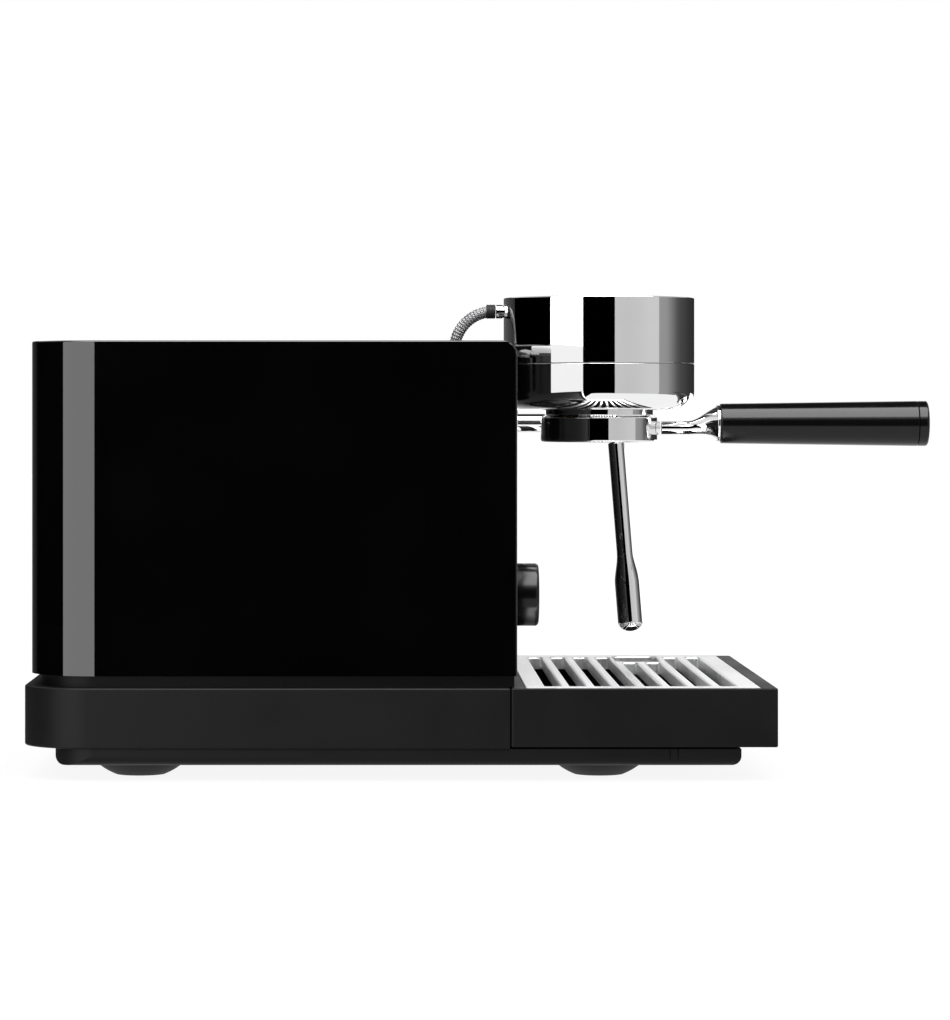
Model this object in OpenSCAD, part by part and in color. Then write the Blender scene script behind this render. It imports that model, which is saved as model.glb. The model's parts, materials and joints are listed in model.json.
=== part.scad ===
// Semi-automatic espresso machine: portafilter, steam wand, drip tray and lift-out water tank.
// Millimetres. +Z is up, the front faces -Y, and the steam wand is on the +X side.
// The origin is on the table, under the middle of the overall box.

/* [Base and feet] */
// Width of the base band and of the drip tray
base_w = 310; // [306:1:320]
// Height of the rubber feet
foot_h = 8.5; // [7.5:0.5:9]
// Radius of a foot where it meets the base
foot_r = 27; // [22:1:29]
// Plan radius of the two rear corners of the base
base_corner_r = 38; // [20:1:60]

/* [Body] */
// Width of the body shell
body_w = 301; // [297:1:304]
// Height of the top of the body shell
body_top = 247; // [246:0.5:249]
// Sheet thickness of the body shell
shell_t = 1.5; // [1:0.1:1.8]
// Plan radius of the two rear corners of the body shell
body_corner_r = 39; // [30:1:42]
// Radius of the bend along the front top edge
front_bend_r = 8.5; // [6:0.5:9]

/* [Brew head] */
// Outer radius of the brew head
head_r = 57; // [52:0.5:57]
// Height of the top of the brew head
head_top = 275; // [273:0.5:280]
// Radius of the rounded lower edge of the brew head
head_edge_r = 11; // [8:0.5:11]

/* [Portafilter] */
// Outer radius of the filter holder below its step
bowl_r = 34.8; // [34:0.1:36]
// Inner radius of the filter basket
basket_r = 29; // [28:0.1:29.2]
// Largest radius of the grip
grip_r = 13.5; // [12:0.1:15]
// Radius of the grip at its collar
grip_r_small = 11.9; // [11:0.1:13]

/* [Steam wand] */
// Radius of the wand tube
wand_r = 5.1; // [4.5:0.05:5.3]
// Forward lean of the wand in degrees
wand_lean = 4.6; // [0:0.2:10]

/* [Drip tray] */
// Width of one slot in the grid
slot_w = 9; // [6:0.5:10]
// Distance from one slot to the next
slot_pitch = 14.2; // [13.8:0.1:14.4]

/* [Dial] */
// Radius of the dial
dial_r = 18; // [12:0.5:20]
// Sideways position of the dial
dial_x = -95; // [-110:1:-80]

/* [Hidden] */
$fn = 64;
rear_y = 267;
middle_shift = -2.3;
base_front_y = -8;
base_top = 52;
band_z = 18;
tray_front_y = -158;
shell_front_y = -12;
shell_rear_y = 263.4;
shell_z = 58.5;
panel_y = -8.5;
head_y = -66;
head_z = 208.3;
seam_z = 235.7;
wand_x = 105;
arm_z = 200;
arm_r = 6;
elbow_y = -81.4;
bend_r = 12;
grip_z = 200.1;
rod_z = 197.5;
dial_z = 102;
tank_front_y = 160;
tank_rear_y = 254.4;
tank_half_w = 110;
lid_axis_y = 252;
lid_axis_z = body_top - 2.5;
grid_rear_y = -17;
grid_front_y = -149;
grid_half_w = 152;
notch_y = -96;
hose_y = 20.4;
hose_bend_r = 23;
hose_r = 3.6;
button_x = [-40, 0, 40];
foot_at = [[-105, 202], [105, 202], [-105, -60], [105, -60]];
screw_at = [[-125, 222], [125, 222], [-125, 12], [125, 12]];

// A rectangle in plan with a square front and rounded rear corners.
module rear_round_plan(front, rear, w, r) {
    union() {
        translate([-w / 2, front]) square([w, rear - r - front]);
        translate([-w / 2 + r, rear - 2 * r]) square([w - 2 * r, 2 * r]);
        for (s = [-1, 1]) translate([s * (w / 2 - r), rear - r]) circle(r = r);
    }
}

// A box with its four upright edges rounded.
module round_box(x0, x1, y0, y1, z0, z1, r) {
    translate([0, 0, z0]) linear_extrude(height = z1 - z0) union() {
        translate([x0 + r, y0]) square([x1 - x0 - 2 * r, y1 - y0]);
        translate([x0, y0 + r]) square([x1 - x0, y1 - y0 - 2 * r]);
        for (x = [x0 + r, x1 - r], y = [y0 + r, y1 - r]) translate([x, y]) circle(r = r);
    }
}

module box(x0, x1, y0, y1, z0, z1) {
    translate([x0, y0, z0]) cube([x1 - x0, y1 - y0, z1 - z0]);
}

// Carries a piece from the drawing's zero, near the front of the body, to the middle of the whole part.
module placed() {
    translate([0, middle_shift, 0]) children();
}

// A cylinder lying along Y from y0 to y1.
module rod_y(x, z, y0, y1, r) {
    translate([x, y1, z]) rotate([90, 0, 0]) cylinder(r = r, h = y1 - y0);
}

// A ring standing on z0.
module ring(r_out, r_in, z0, z1) {
    translate([0, 0, z0]) difference() {
        cylinder(r = r_out, h = z1 - z0);
        translate([0, 0, -1]) cylinder(r = r_in, h = z1 - z0 + 2);
    }
}

// ---------------------------------------------------------------- base

module base_frame() {
    color([0.06, 0.06, 0.06]) placed() difference() {
        union() {
            difference() {
                translate([0, 0, band_z]) linear_extrude(height = base_top - band_z)
                    rear_round_plan(base_front_y, rear_y, base_w, base_corner_r);
                translate([0, 0, band_z + 2.5]) linear_extrude(height = base_top - band_z - 5.5)
                    rear_round_plan(base_front_y + 3, rear_y - 3, base_w - 6, base_corner_r - 3);
                translate([0, 0, band_z - 1]) linear_extrude(height = 4)
                    rear_round_plan(base_front_y + 3, 240, base_w - 16, 16);
            }
            for (p = screw_at) translate([p[0], p[1], band_z]) cylinder(r = 5, h = 32);
        }
        for (p = screw_at) translate([p[0], p[1], band_z - 1]) cylinder(r = 1.7, h = 18);
        box(-101.1, -68.9, 255, 275, 21.9, 48.1);
        box(-120, 120, 20, 150, 48, 53);
    }
}

// Shallow pan that closes the base from below and runs forward under the drip tray.
module base_plate() {
    front = -137.5;
    rear = 248.5;
    w = base_w - 3;
    r = 5.6;
    color([0.06, 0.06, 0.06]) placed() difference() {
        intersection() {
            translate([0, 0, foot_h]) linear_extrude(height = band_z - foot_h)
                rear_round_plan(front, rear, w, 22);
            translate([-w / 2, 0, 0]) rotate([90, 0, 90]) linear_extrude(height = w) union() {
                translate([front, foot_h + r]) square([rear - front, 10]);
                translate([front + r, foot_h]) square([rear - front - 2 * r, 10]);
                for (y = [front + r, rear - r]) translate([y, foot_h + r]) circle(r = r);
            }
            translate([0, rear + 1, 0]) rotate([90, 0, 0]) linear_extrude(height = rear - front + 2) union() {
                translate([-w / 2, foot_h + r]) square([w, 10]);
                translate([-w / 2 + r, foot_h]) square([w - 2 * r, 10]);
                for (s = [-1, 1]) translate([s * (w / 2 - r), foot_h + r]) circle(r = r);
            }
        }
        difference() {
            translate([0, 0, foot_h + 2.5]) linear_extrude(height = 20)
                rear_round_plan(front + 2.5, rear - 5, w - 5, 18);
            for (p = screw_at) translate([p[0], p[1], 0]) cylinder(r = 6.5, h = band_z);
            for (p = foot_at) translate([p[0], p[1], 0]) cylinder(r = 5, h = band_z - 2.1);
            for (y = [-115, -90, -35]) box(-150, 150, y, y + 2, 0, band_z - 2.1);
        }
        for (p = screw_at) translate([p[0], p[1], 0]) cylinder(r = 2, h = 30);
        for (p = screw_at) translate([p[0], p[1], 0]) cylinder(r = 4, h = foot_h + 3);
        for (p = foot_at) translate([p[0], p[1], 0]) cylinder(r = 1.7, h = 14);
        for (i = [0:7]) box(-42, 42, 60 + 12 * i, 64 + 12 * i, 0, 12);
        for (s = [-1, 1], y = [-99.7 - 2.25, -99.7 + 2.25])
            box(s * (w / 2) - 0.7, s * (w / 2) + 0.7, y - 0.4, y + 0.4, 0, 20);
    }
}

// Flat shelf under the drip tray, with two runners that carry it.
module tray_shelf() {
    color([0.07, 0.07, 0.07]) placed() union() {
        box(-150.9, 150.9, -134.9, -11, band_z - 2, band_z);
        for (x = [-110, 110]) box(x - 4, x + 4, -134.9, -11, band_z, 18.9);
    }
}

module rubber_feet() {
    // A shallow dome cut from a sphere, flat where it stands.
    flat_r = 14;
    c = (foot_r * foot_r + foot_h * foot_h - flat_r * flat_r) / (2 * foot_h);
    ball_r = sqrt(flat_r * flat_r + c * c);
    color([0.04, 0.04, 0.04]) placed() for (p = foot_at) translate([p[0], p[1], 0]) difference() {
        intersection() {
            translate([0, 0, c]) sphere(r = ball_r);
            cylinder(r = foot_r + 1, h = foot_h);
        }
        translate([0, 0, -1]) cylinder(r = 4.2, h = 5);
        cylinder(r = 1.7, h = 20);
    }
}

module foot_screws() {
    color([0.6, 0.6, 0.62]) placed() for (p = foot_at) translate([p[0], p[1], 0]) union() {
        translate([0, 0, 1.8]) cylinder(r = 3.6, h = 2.2);
        translate([0, 0, 3.9]) cylinder(r = 1.6, h = 9);
    }
}

module base_screws() {
    color([0.6, 0.6, 0.62]) placed() for (p = screw_at) translate([p[0], p[1], 0]) union() {
        translate([0, 0, foot_h + 0.6]) cylinder(r = 3.5, h = 2.4);
        translate([0, 0, foot_h + 2.9]) cylinder(r = 1.6, h = 20);
    }
}

module mains_inlet() {
    color([0.05, 0.05, 0.05]) placed() union() {
        difference() {
            round_box(-101, -69, 241, 266.8, 22, 48, 1);
            box(-97, -73, 250, 270, 27, 43);
        }
        for (p = [[-85, 38.5], [-92, 33], [-78, 33]]) box(p[0] - 1, p[0] + 1, 249.9, 257.5, p[1] - 2, p[1] + 2);
    }
}

// ---------------------------------------------------------------- body

module plinth() {
    color([0.05, 0.05, 0.05]) placed() union() {
        difference() {
            translate([0, 0, base_top]) linear_extrude(height = shell_z - base_top)
                rear_round_plan(base_front_y, 257.7, 291, 30);
            translate([0, 0, base_top - 1]) linear_extrude(height = 5.5)
                rear_round_plan(base_front_y + 3, 254.7, 285, 27);
            translate([0, 0, base_top - 1]) linear_extrude(height = 20)
                rear_round_plan(2, 244, 270, 20);
        }
        box(-145.5, 145.5, -10.5, -7.9, base_top + 0.4, shell_z);
    }
}

module shell_solid(t) {
    // The folded body with t taken off every side but the open bottom.
    r = front_bend_r - t;
    front = shell_front_y + t;
    rear = shell_rear_y - t;
    top = body_top - t;
    w = body_w - 2 * t;
    z0 = t > 0 ? shell_z - 1 : shell_z;
    intersection() {
        translate([0, 0, z0]) linear_extrude(height = top - z0) rear_round_plan(front, rear, w, body_corner_r - t);
        translate([-w / 2, 0, 0]) rotate([90, 0, 90]) linear_extrude(height = w) union() {
            translate([front + r, z0]) square([rear - front - r, top - z0]);
            translate([front, z0]) square([2 * r, top - z0 - r]);
            translate([front + r, top - r]) circle(r = r);
        }
    }
}

module body_shell() {
    color([0.01, 0.01, 0.01]) placed() difference() {
        shell_solid(0);
        shell_solid(shell_t);
        box(-146.5, 146.5, -14, -9.5, 61, 236);
        round_box(-113.5, 113.5, 157.8, 255.3, 240, 250, 6);
        translate([0, hose_y, 240]) cylinder(r = 6, h = 10);
        translate([0, head_y, 200]) cylinder(r = head_r + 0.4, h = 60);
    }
}

module front_panel() {
    color([0.02, 0.02, 0.02]) placed() difference() {
        union() {
            box(-148.8, 148.8, panel_y, panel_y + 2, shell_z + 0.2, 242.8);
            difference() {
                box(-148.8, 148.8, panel_y - 1.9, panel_y + 0.1, shell_z + 0.2, 238);
                box(-143, 143, panel_y - 3, panel_y + 3, 64, 232);
            }
        }
        translate([0, head_y, 200]) cylinder(r = head_r + 0.4, h = 60);
        box(-18.2, 18.2, -12, 0, 217.6, 235.8);
        rod_y(dial_x, dial_z, -12, 0, 3.4);
        for (x = button_x) rod_y(x, dial_z, -12, 0, 8.3);
        for (x = button_x) rod_y(x, dial_z + 18, -12, 0, 1.7);
        rod_y(wand_x, arm_z, -12, 0, 6.5);
    }
}

module inner_frame() {
    color([0.55, 0.55, 0.57]) placed() difference() {
        union() {
            box(-120, 120, 8, 10, 60.5, 236);
            box(-120, 120, 8, 30, 58.6, 60.5);
        }
        for (x = button_x) rod_y(x, dial_z - 10, 6, 12, 1.5);
        rod_y(dial_x, dial_z, 6, 12, 12);
        rod_y(wand_x, arm_z - 6, 6, 12, 4.2);
        box(-80, -60, 6, 12, 150, 180);
    }
}

// ---------------------------------------------------------------- brew head

module group_neck() {
    color([0.62, 0.62, 0.64]) placed() difference() {
        box(-18, 18, -28, 8, 217.8, 235.6);
        translate([0, head_y, 200]) cylinder(r = 44, h = 60);
    }
}

module group_body() {
    color([0.72, 0.55, 0.28]) placed() translate([0, head_y, 0]) difference() {
        translate([0, 0, 217.6]) cylinder(r = 44, h = 32.4);
        translate([0, 0, 216]) cylinder(r = 36.2, h = 13.1);
        cylinder(r = 2.5, h = 242);
        translate([12, 0, 220]) cylinder(r = 3, h = 40);
    }
}

module bayonet_ring() {
    color([0.8, 0.8, 0.82]) placed() translate([0, head_y, 0]) difference() {
        rotate_extrude() polygon([[33, 209], [46, 209], [46, 217.6], [37.4, 217.6], [37.4, 212.6], [33, 212.6]]);
        for (a = [-45, 135]) rotate([0, 0, a - 17])
            rotate_extrude(angle = 34) translate([32, 208]) square([5.4, 5]);
    }
}

module group_gasket() {
    color([0.05, 0.05, 0.05]) placed() translate([0, head_y, 0]) ring(36, 28.4, 222.1, 229);
}

module shower_screen() {
    color([0.75, 0.75, 0.77]) placed() translate([0, head_y, 0]) difference() {
        rotate_extrude() polygon([[2.6, 222.3], [28, 222.3], [28, 228], [27.2, 228], [27.2, 223.1], [2.6, 223.1]]);
        for (i = [0:11]) rotate([0, 0, 30 * i]) translate([20, 0, 220]) cylinder(r = 1, h = 5);
        for (i = [0:5]) rotate([0, 0, 60 * i]) translate([11, 0, 220]) cylinder(r = 1, h = 5);
    }
}

module screen_screw() {
    color([0.6, 0.6, 0.62]) placed() translate([0, head_y, 0]) union() {
        translate([0, 0, 219.9]) cylinder(r = 4.5, h = 2.3);
        translate([0, 0, 222]) cylinder(r = 2.4, h = 18);
    }
}

module head_lower_shell() {
    r = head_edge_r;
    top = seam_z - 0.3;
    color([0.8, 0.8, 0.82]) placed() translate([0, head_y, 0]) difference() {
        rotate_extrude() difference() {
            union() {
                translate([0, head_z]) square([head_r - r, top - head_z]);
                translate([0, head_z + r]) square([head_r, top - head_z - r]);
                translate([head_r - r, head_z + r]) circle(r = r);
            }
            translate([0, head_z + r]) square([head_r - 1.5, 40]);
            translate([head_r - r, head_z + r]) circle(r = r - 1.5);
            translate([0, head_z - 1]) square([46.3, 40]);
        }
        box(-18.2, 18.2, 30, 60, 217.6, 235.8);
    }
}

module head_upper_shell() {
    color([0.8, 0.8, 0.82]) placed() translate([0, head_y, 0]) difference() {
        rotate_extrude() polygon([
            [head_r - 0.6, seam_z + 0.3], [head_r - 0.6, seam_z - 0.3],
            [head_r - 1.6, seam_z - 0.3], [head_r - 1.6, seam_z - 5], [head_r - 3, seam_z - 5],
            [head_r - 3, seam_z + 2], [head_r - 1.5, seam_z + 3.5], [head_r - 1.5, head_top - 2.4],
            [head_r - 4, head_top - 2.4], [head_r - 4, head_top - 1.6], [head_r - 1.2, head_top - 1.6],
            [head_r - 0.8, head_top], [head_r - 0.4, head_top], [head_r, head_top - 0.5],
            [head_r, seam_z + 0.3]]);
        box(-18.2, 18.2, 30, 60, 217.6, 235.8);
        rod_y(0, 267, 40, 62, 3.9);
    }
}

module head_top_cap() {
    color([0.8, 0.8, 0.82]) placed() translate([0, head_y, head_top - 1.6]) cylinder(r = head_r - 1.4, h = 1.2);
}

// Copper pipe from the hose fitting to the top of the group.
module inlet_pipe() {
    color([0.72, 0.5, 0.3]) placed() union() {
        rod_y(0, 267, head_y, -15, 2.5);
        translate([0, head_y, 250]) cylinder(r = 2.5, h = 17);
        translate([0, head_y, 267]) sphere(r = 2.5);
        translate([0, head_y, 250]) cylinder(r = 6, h = 4);
    }
}

// ---------------------------------------------------------------- hose to the head

module hose_grommet() {
    color([0.04, 0.04, 0.04]) placed() translate([0, hose_y, 0]) rotate_extrude() polygon([
        [4.1, body_top - 3.5], [7.5, body_top - 3.5], [7.5, body_top - 1.6], [5.9, body_top - 1.6],
        [5.9, body_top + 0.1], [7, body_top + 0.1], [6.6, body_top + 1], [4.1, body_top + 1]]);
}

module head_hose() {
    color([0.62, 0.62, 0.64]) placed() union() {
        translate([0, hose_y, 228]) cylinder(r = hose_r, h = 18 - (hose_bend_r - 21));
        translate([0, hose_y - hose_bend_r, 267 - hose_bend_r]) rotate([90, 0, 90]) rotate_extrude(angle = 90)
            translate([hose_bend_r, 0]) circle(r = hose_r);
    }
}

module hose_ferrule() {
    color([0.03, 0.03, 0.03]) placed() difference() {
        rod_y(0, 267, hose_y - hose_bend_r - 1.4, hose_y - hose_bend_r + 4, 4.2);
        translate([0, hose_y - hose_bend_r, 267 - hose_bend_r]) rotate([90, 0, 90]) rotate_extrude(angle = 90)
            translate([hose_bend_r, 0]) circle(r = hose_r + 0.05);
    }
}

module hose_fitting() {
    color([0.8, 0.8, 0.82]) placed() union() {
        rod_y(0, 267, -15, -4.4, 3.7);
        rod_y(0, 267, -8.4, -4.4, 4.1);
    }
}

// ---------------------------------------------------------------- works inside the body

module pump() {
    color([0.3, 0.3, 0.32]) placed() union() {
        translate([-120, 70, 88]) rotate([0, 90, 0]) cylinder(r = 17, h = 46);
        translate([-75, 70, 88]) rotate([0, 90, 0]) cylinder(r = 9, h = 40);
        box(-112, -84, 50, 90, 72, 104);
    }
}

module pump_mounts() {
    color([0.04, 0.04, 0.04]) placed()
        for (x = [-104, -92], y = [56, 84]) translate([x, y, 52.1]) cylinder(r = 5, h = 19.8);
}

module thermoblock() {
    color([0.7, 0.7, 0.72]) placed() union() {
        round_box(30, 110, 60, 130, 150, 190, 6);
        for (x = [45, 95], y = [75, 115]) translate([x, y, 190]) cylinder(r = 5, h = 12);
        for (y = [66, 124]) box(40, 100, y - 2, y + 2, 60.6, 151);
    }
}

module solenoid_valve() {
    color([0.35, 0.35, 0.37]) placed() union() {
        box(-30, -6, 50, 76, 180, 206);
        translate([-18, 63, 206]) cylinder(r = 7, h = 20);
        rod_y(-18, 190, 10, 51, 5);
    }
}

module control_board() {
    color([0.08, 0.3, 0.16]) placed() union() {
        box(-138, -136.4, 20, 140, 110, 220);
        for (y = [40, 80, 120]) box(-136.5, -124, y - 8, y + 8, 130, 150);
        for (y = [40, 100]) box(-136.5, -120, y - 12, y + 12, 180, 206);
    }
}

module power_supply() {
    color([0.5, 0.5, 0.52]) placed() round_box(-25, 35, 60, 140, 60, 92, 3);
}

// Silicone hose from the tank dock forward to the pump.
module water_hose() {
    color([0.75, 0.75, 0.75]) placed() union() {
        rod_y(-60, 62.2, 110, 178, 3.2);
        translate([-60, 110, 62.2]) sphere(r = 3.2);
        translate([-60, 110, 62.2]) cylinder(r = 3.2, h = 40);
    }
}

module tank_dock() {
    color([0.06, 0.06, 0.06]) placed() difference() {
        union() {
            round_box(-116, 116, 156, 243.5, 58.6, 61, 8);
            translate([-60, 190, 60]) cylinder(r = 14, h = 5.6);
        }
        translate([-60, 190, 61.5]) cylinder(r = 10.3, h = 10);
        translate([-60, 190, 50]) cylinder(r = 3, h = 20);
        rod_y(-60, 62.2, 150, 178.1, 3.3);
    }
}

module dial_encoder() {
    color([0.1, 0.1, 0.1]) placed() difference() {
        union() {
            box(dial_x - 10, dial_x + 10, panel_y + 2.1, 5, dial_z - 10, dial_z + 10);
            rod_y(dial_x, dial_z, 4.9, 16, 7);
        }
        rod_y(dial_x, dial_z, -12, 2, 3.06);
    }
}

module button_board() {
    color([0.08, 0.3, 0.16]) placed() union() {
        box(-55, 55, 3, 4.6, dial_z - 14, dial_z + 24);
        for (x = button_x) box(x - 6, x + 6, -0.4, 3.1, dial_z - 6, dial_z + 6);
        for (x = [-50, 50]) rod_y(x, dial_z, 4.5, 8, 3);
    }
}

module steam_valve() {
    color([0.72, 0.55, 0.28]) placed() union() {
        box(wand_x - 13, wand_x + 13, -2, 8, arm_z - 13, arm_z + 13);
        rod_y(wand_x, arm_z - 6, 7.9, 40, 4);
    }
}

module steam_joint_nut() {
    color([0.8, 0.8, 0.82]) placed() difference() {
        union() {
            rod_y(wand_x, arm_z, -13, panel_y, 12);
            translate([wand_x, -12.9, arm_z]) rotate([90, 0, 0]) cylinder(r = 10, h = 8, $fn = 6);
        }
        rod_y(wand_x, arm_z, -25, 0, arm_r + 0.05);
    }
}

module status_lens() {
    color([0.9, 0.9, 0.85]) placed() for (x = button_x) rod_y(x, dial_z + 18, -8.9, -5.5, 1.6);
}

// ---------------------------------------------------------------- dial and buttons

module dial() {
    color([0.04, 0.04, 0.04]) placed() difference() {
        translate([dial_x, panel_y - 0.6, dial_z]) rotate([90, 0, 0]) rotate_extrude() polygon([
            [0, 0], [dial_r - 1, 0], [dial_r, 1], [dial_r, 14.6], [dial_r - 0.6, 16], [dial_r - 2.4, 16.9],
            [0, 16.9]]);
        rod_y(dial_x, dial_z, -20, -5, 3.02);
        box(dial_x - 0.8, dial_x + 0.8, -30, panel_y - 16.9, dial_z + 6, dial_z + 15);
    }
}

module dial_shaft() {
    color([0.6, 0.6, 0.62]) placed() rod_y(dial_x, dial_z, -19.9, 1.5, 3);
}

module button(x) {
    color([0.05, 0.05, 0.05]) placed() union() {
        rod_y(x, dial_z, -11, -4.9, 8);
        rod_y(x, dial_z, -6.2, -4.9, 9.6);
        rod_y(x, dial_z, -5, -2.4, 2.5);
    }
}

module button_power() {
    button(button_x[0]);
}

module button_brew() {
    button(button_x[1]);
}

module button_steam() {
    button(button_x[2]);
}

// ---------------------------------------------------------------- steam wand

// A tube lying along Y from y0 to y1.
module tube_y(x, z, y0, y1, r_out, r_in) {
    difference() {
        rod_y(x, z, y0, y1, r_out);
        rod_y(x, z, y0 - 1, y1 + 1, r_in);
    }
}

// Places its child on the lower leg of the wand, with the elbow's corner at its origin.
module on_leg() {
    translate([wand_x, elbow_y, arm_z]) rotate([-wand_lean, 0, 0]) children();
}

// One bent steam tube: along the arm, round the elbow and down the leg.
module wand_tube() {
    turn = 90 - wand_lean;
    reach = bend_r * tan(turn / 2);
    bend_y = elbow_y + reach;
    color([0.8, 0.8, 0.82]) placed() union() {
        tube_y(wand_x, arm_z, bend_y, -4, arm_r, 2.6);
        tube_y(wand_x, arm_z, -6.2, -4.2, 8.5, 4);
        translate([wand_x, bend_y, arm_z - bend_r]) rotate([0, -90, 180]) rotate_extrude(angle = turn)
            translate([bend_r, 0]) difference() {
                circle(r = arm_r);
                circle(r = 2.6);
            }
        on_leg() ring(arm_r, 2.6, -reach - 3, -reach);
        on_leg() ring(wand_r, 2.6, -108.4, -reach - 3);
    }
}

module wand_sleeve() {
    color([0.75, 0.75, 0.77]) placed() on_leg() rotate_extrude() polygon([
            [wand_r + 0.02, -81.5], [wand_r + 0.4, -81.5], [7.5, -97], [7.9, -101], [7.9, -121],
            [2.6, -121], [2.6, -108.5], [wand_r + 0.02, -108.5]]);
}

module wand_tip() {
    color([0.75, 0.75, 0.77]) placed() on_leg() difference() {
        union() {
            translate([0, 0, -125]) cylinder(r = 7.7, h = 4);
            intersection() {
                translate([0, 0, -122.3]) sphere(r = 8.16);
                translate([0, 0, -131]) cylinder(r = 7.7, h = 6);
            }
        }
        translate([0, 0, -128]) cylinder(r = 2.6, h = 10);
        for (i = [0:3]) rotate([0, 0, 90 * i]) translate([2, 0, -128]) rotate([0, 35, 0]) translate([0, 0, -4])
            cylinder(r = 0.7, h = 6);
    }
}

// ---------------------------------------------------------------- portafilter

module portafilter_bowl() {
    color([0.78, 0.78, 0.8]) placed() translate([0, head_y, 0]) difference() {
        union() {
            rotate_extrude() polygon([
                [27, 189], [bowl_r - 1, 189], [bowl_r, 190], [bowl_r, 203.6], [32.3, 205.2], [32.3, 220.9],
                [30.3, 220.9], [30.3, 211.9], [31.1, 211.9], [31.1, 210.3], [30.3, 210.3], [30.3, 193],
                [27, 193]]);
            for (a = [-13, 167]) rotate([0, 0, a])
                rotate_extrude(angle = 26) translate([31.5, 213]) square([5, 4]);
            rod_y(0, rod_z, -37.5, -32.5, 4.8);
        }
        translate([0, 0, 193]) cylinder(r = 30.3, h = 17);
    }
}

module filter_basket() {
    color([0.7, 0.7, 0.72]) placed() translate([0, head_y, 0]) difference() {
        rotate_extrude() polygon([
            [0, 195], [basket_r + 0.7, 195], [basket_r + 0.7, 221], [33, 221], [33, 221.9], [basket_r, 221.9],
            [basket_r, 195.8], [0, 195.8]]);
        for (i = [0:17]) rotate([0, 0, 20 * i]) translate([22, 0, 190]) cylinder(r = 1, h = 8);
        for (i = [0:11]) rotate([0, 0, 30 * i]) translate([14, 0, 190]) cylinder(r = 1, h = 8);
        for (i = [0:5]) rotate([0, 0, 60 * i]) translate([7, 0, 190]) cylinder(r = 1, h = 8);
        translate([0, 0, 190]) cylinder(r = 1, h = 8);
    }
}

// Open wire ring that keeps the basket in the holder.
module basket_spring() {
    color([0.6, 0.6, 0.62]) placed() translate([0, head_y, 211.1]) rotate([0, 0, 20]) rotate_extrude(angle = 320)
        translate([30.4, 0]) circle(r = 0.6);
}

module stem_disc(y, z, r) {
    rod_y(0, z, y, y + 0.5, r, $fn = 48);
}

module handle_stem() {
    color([0.78, 0.78, 0.8]) placed() union() {
        rod_y(0, rod_z, -118.5, -103.5, 4);
        hull() {
            stem_disc(-119, rod_z, 4);
            stem_disc(-125.8, rod_z + 0.5, 5);
        }
        hull() {
            stem_disc(-125.8, rod_z + 0.5, 5);
            stem_disc(-131.6, rod_z + 1.6, 7.2);
        }
        hull() {
            stem_disc(-131.6, rod_z + 1.6, 7.2);
            stem_disc(-136.4, grip_z, 10.2);
        }
        rod_y(0, grip_z, -173, -136.4, 4);
    }
}

module handle_collar() {
    color([0.85, 0.85, 0.87]) placed() difference() {
        rod_y(0, grip_z, -138.3, -136.45, 11);
        rod_y(0, grip_z, -141, -135, 4.05);
    }
}

module grip() {
    color([0.03, 0.03, 0.03]) placed() translate([0, -138.4, grip_z]) rotate([90, 0, 0]) difference() {
        rotate_extrude() polygon([
            [0, 0], [grip_r_small - 0.6, 0], [grip_r_small, 0.7], [grip_r, 117.6], [grip_r - 0.6, 117.9],
            [0, 117.9]]);
        translate([0, 0, -1]) cylinder(r = 4.05, h = 36.6);
    }
}

module grip_end_cap() {
    color([0.05, 0.05, 0.05]) placed() translate([0, -256.4, grip_z]) rotate([90, 0, 0]) rotate_extrude() polygon([
        [0, 0], [grip_r - 0.5, 0], [grip_r, 0.4], [grip_r, 4.6], [grip_r - 0.4, 5.6], [grip_r - 1.4, 6], [0, 6]]);
}

// ---------------------------------------------------------------- drip tray

module drip_tray() {
    w = base_w / 2;
    color([0.05, 0.05, 0.05]) placed() difference() {
        box(-w, w, tray_front_y, base_front_y - 0.3, 19, base_top);
        box(-w + 6, w - 6, tray_front_y + 11.5, base_front_y - 11.5, 22.5, base_top + 1);
        box(-grid_half_w - 0.4, grid_half_w + 0.4, grid_front_y - 0.4, grid_rear_y + 0.4, base_top - 4, base_top + 1);
        box(-w + 10, w - 10, -14, -8, 18, 30);
    }
}

// Stainless grid with down-turned slot edges and a finger notch over the float.
module drip_grid() {
    color([0.75, 0.75, 0.77]) placed() difference() {
        union() {
            box(-grid_half_w, grid_half_w, grid_front_y, grid_rear_y, base_top - 1.2, base_top);
            difference() {
                box(-grid_half_w, grid_half_w, grid_front_y, grid_rear_y, base_top - 3.8, base_top);
                box(-grid_half_w + 1, grid_half_w - 1, grid_front_y + 1, grid_rear_y - 1, base_top - 5, base_top - 1);
            }
            for (i = [0:7]) slot(i, 1, base_top - 7.5, base_top - 0.5);
            translate([0, notch_y, 0]) box(91, 148.4, -15, 15, base_top - 6, base_top - 0.5);
        }
        for (i = [0:7]) slot(i, 0, 40, 60);
        round_box(92, 147.4, notch_y - 14, notch_y + 14, 40, 60, 6);
    }
}

// One slot of the grid, widened by t; the ones beside the notch are shorter.
module slot(i, t, z0, z1) {
    y = -28.3 - slot_pitch * i;
    far = (i == 4 || i == 5) ? 84 : 136;
    round_box(-136 - t, far + t, y - slot_w - t, y + t, z0, z1, 2 + t);
}

module float_indicator() {
    color([0.6, 0.06, 0.04]) placed() union() {
        round_box(108, 134, notch_y - 9, notch_y + 9, 40, 48, 4);
        translate([121, notch_y, 24]) cylinder(r = 3, h = 17);
    }
}

// ---------------------------------------------------------------- water tank

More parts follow.
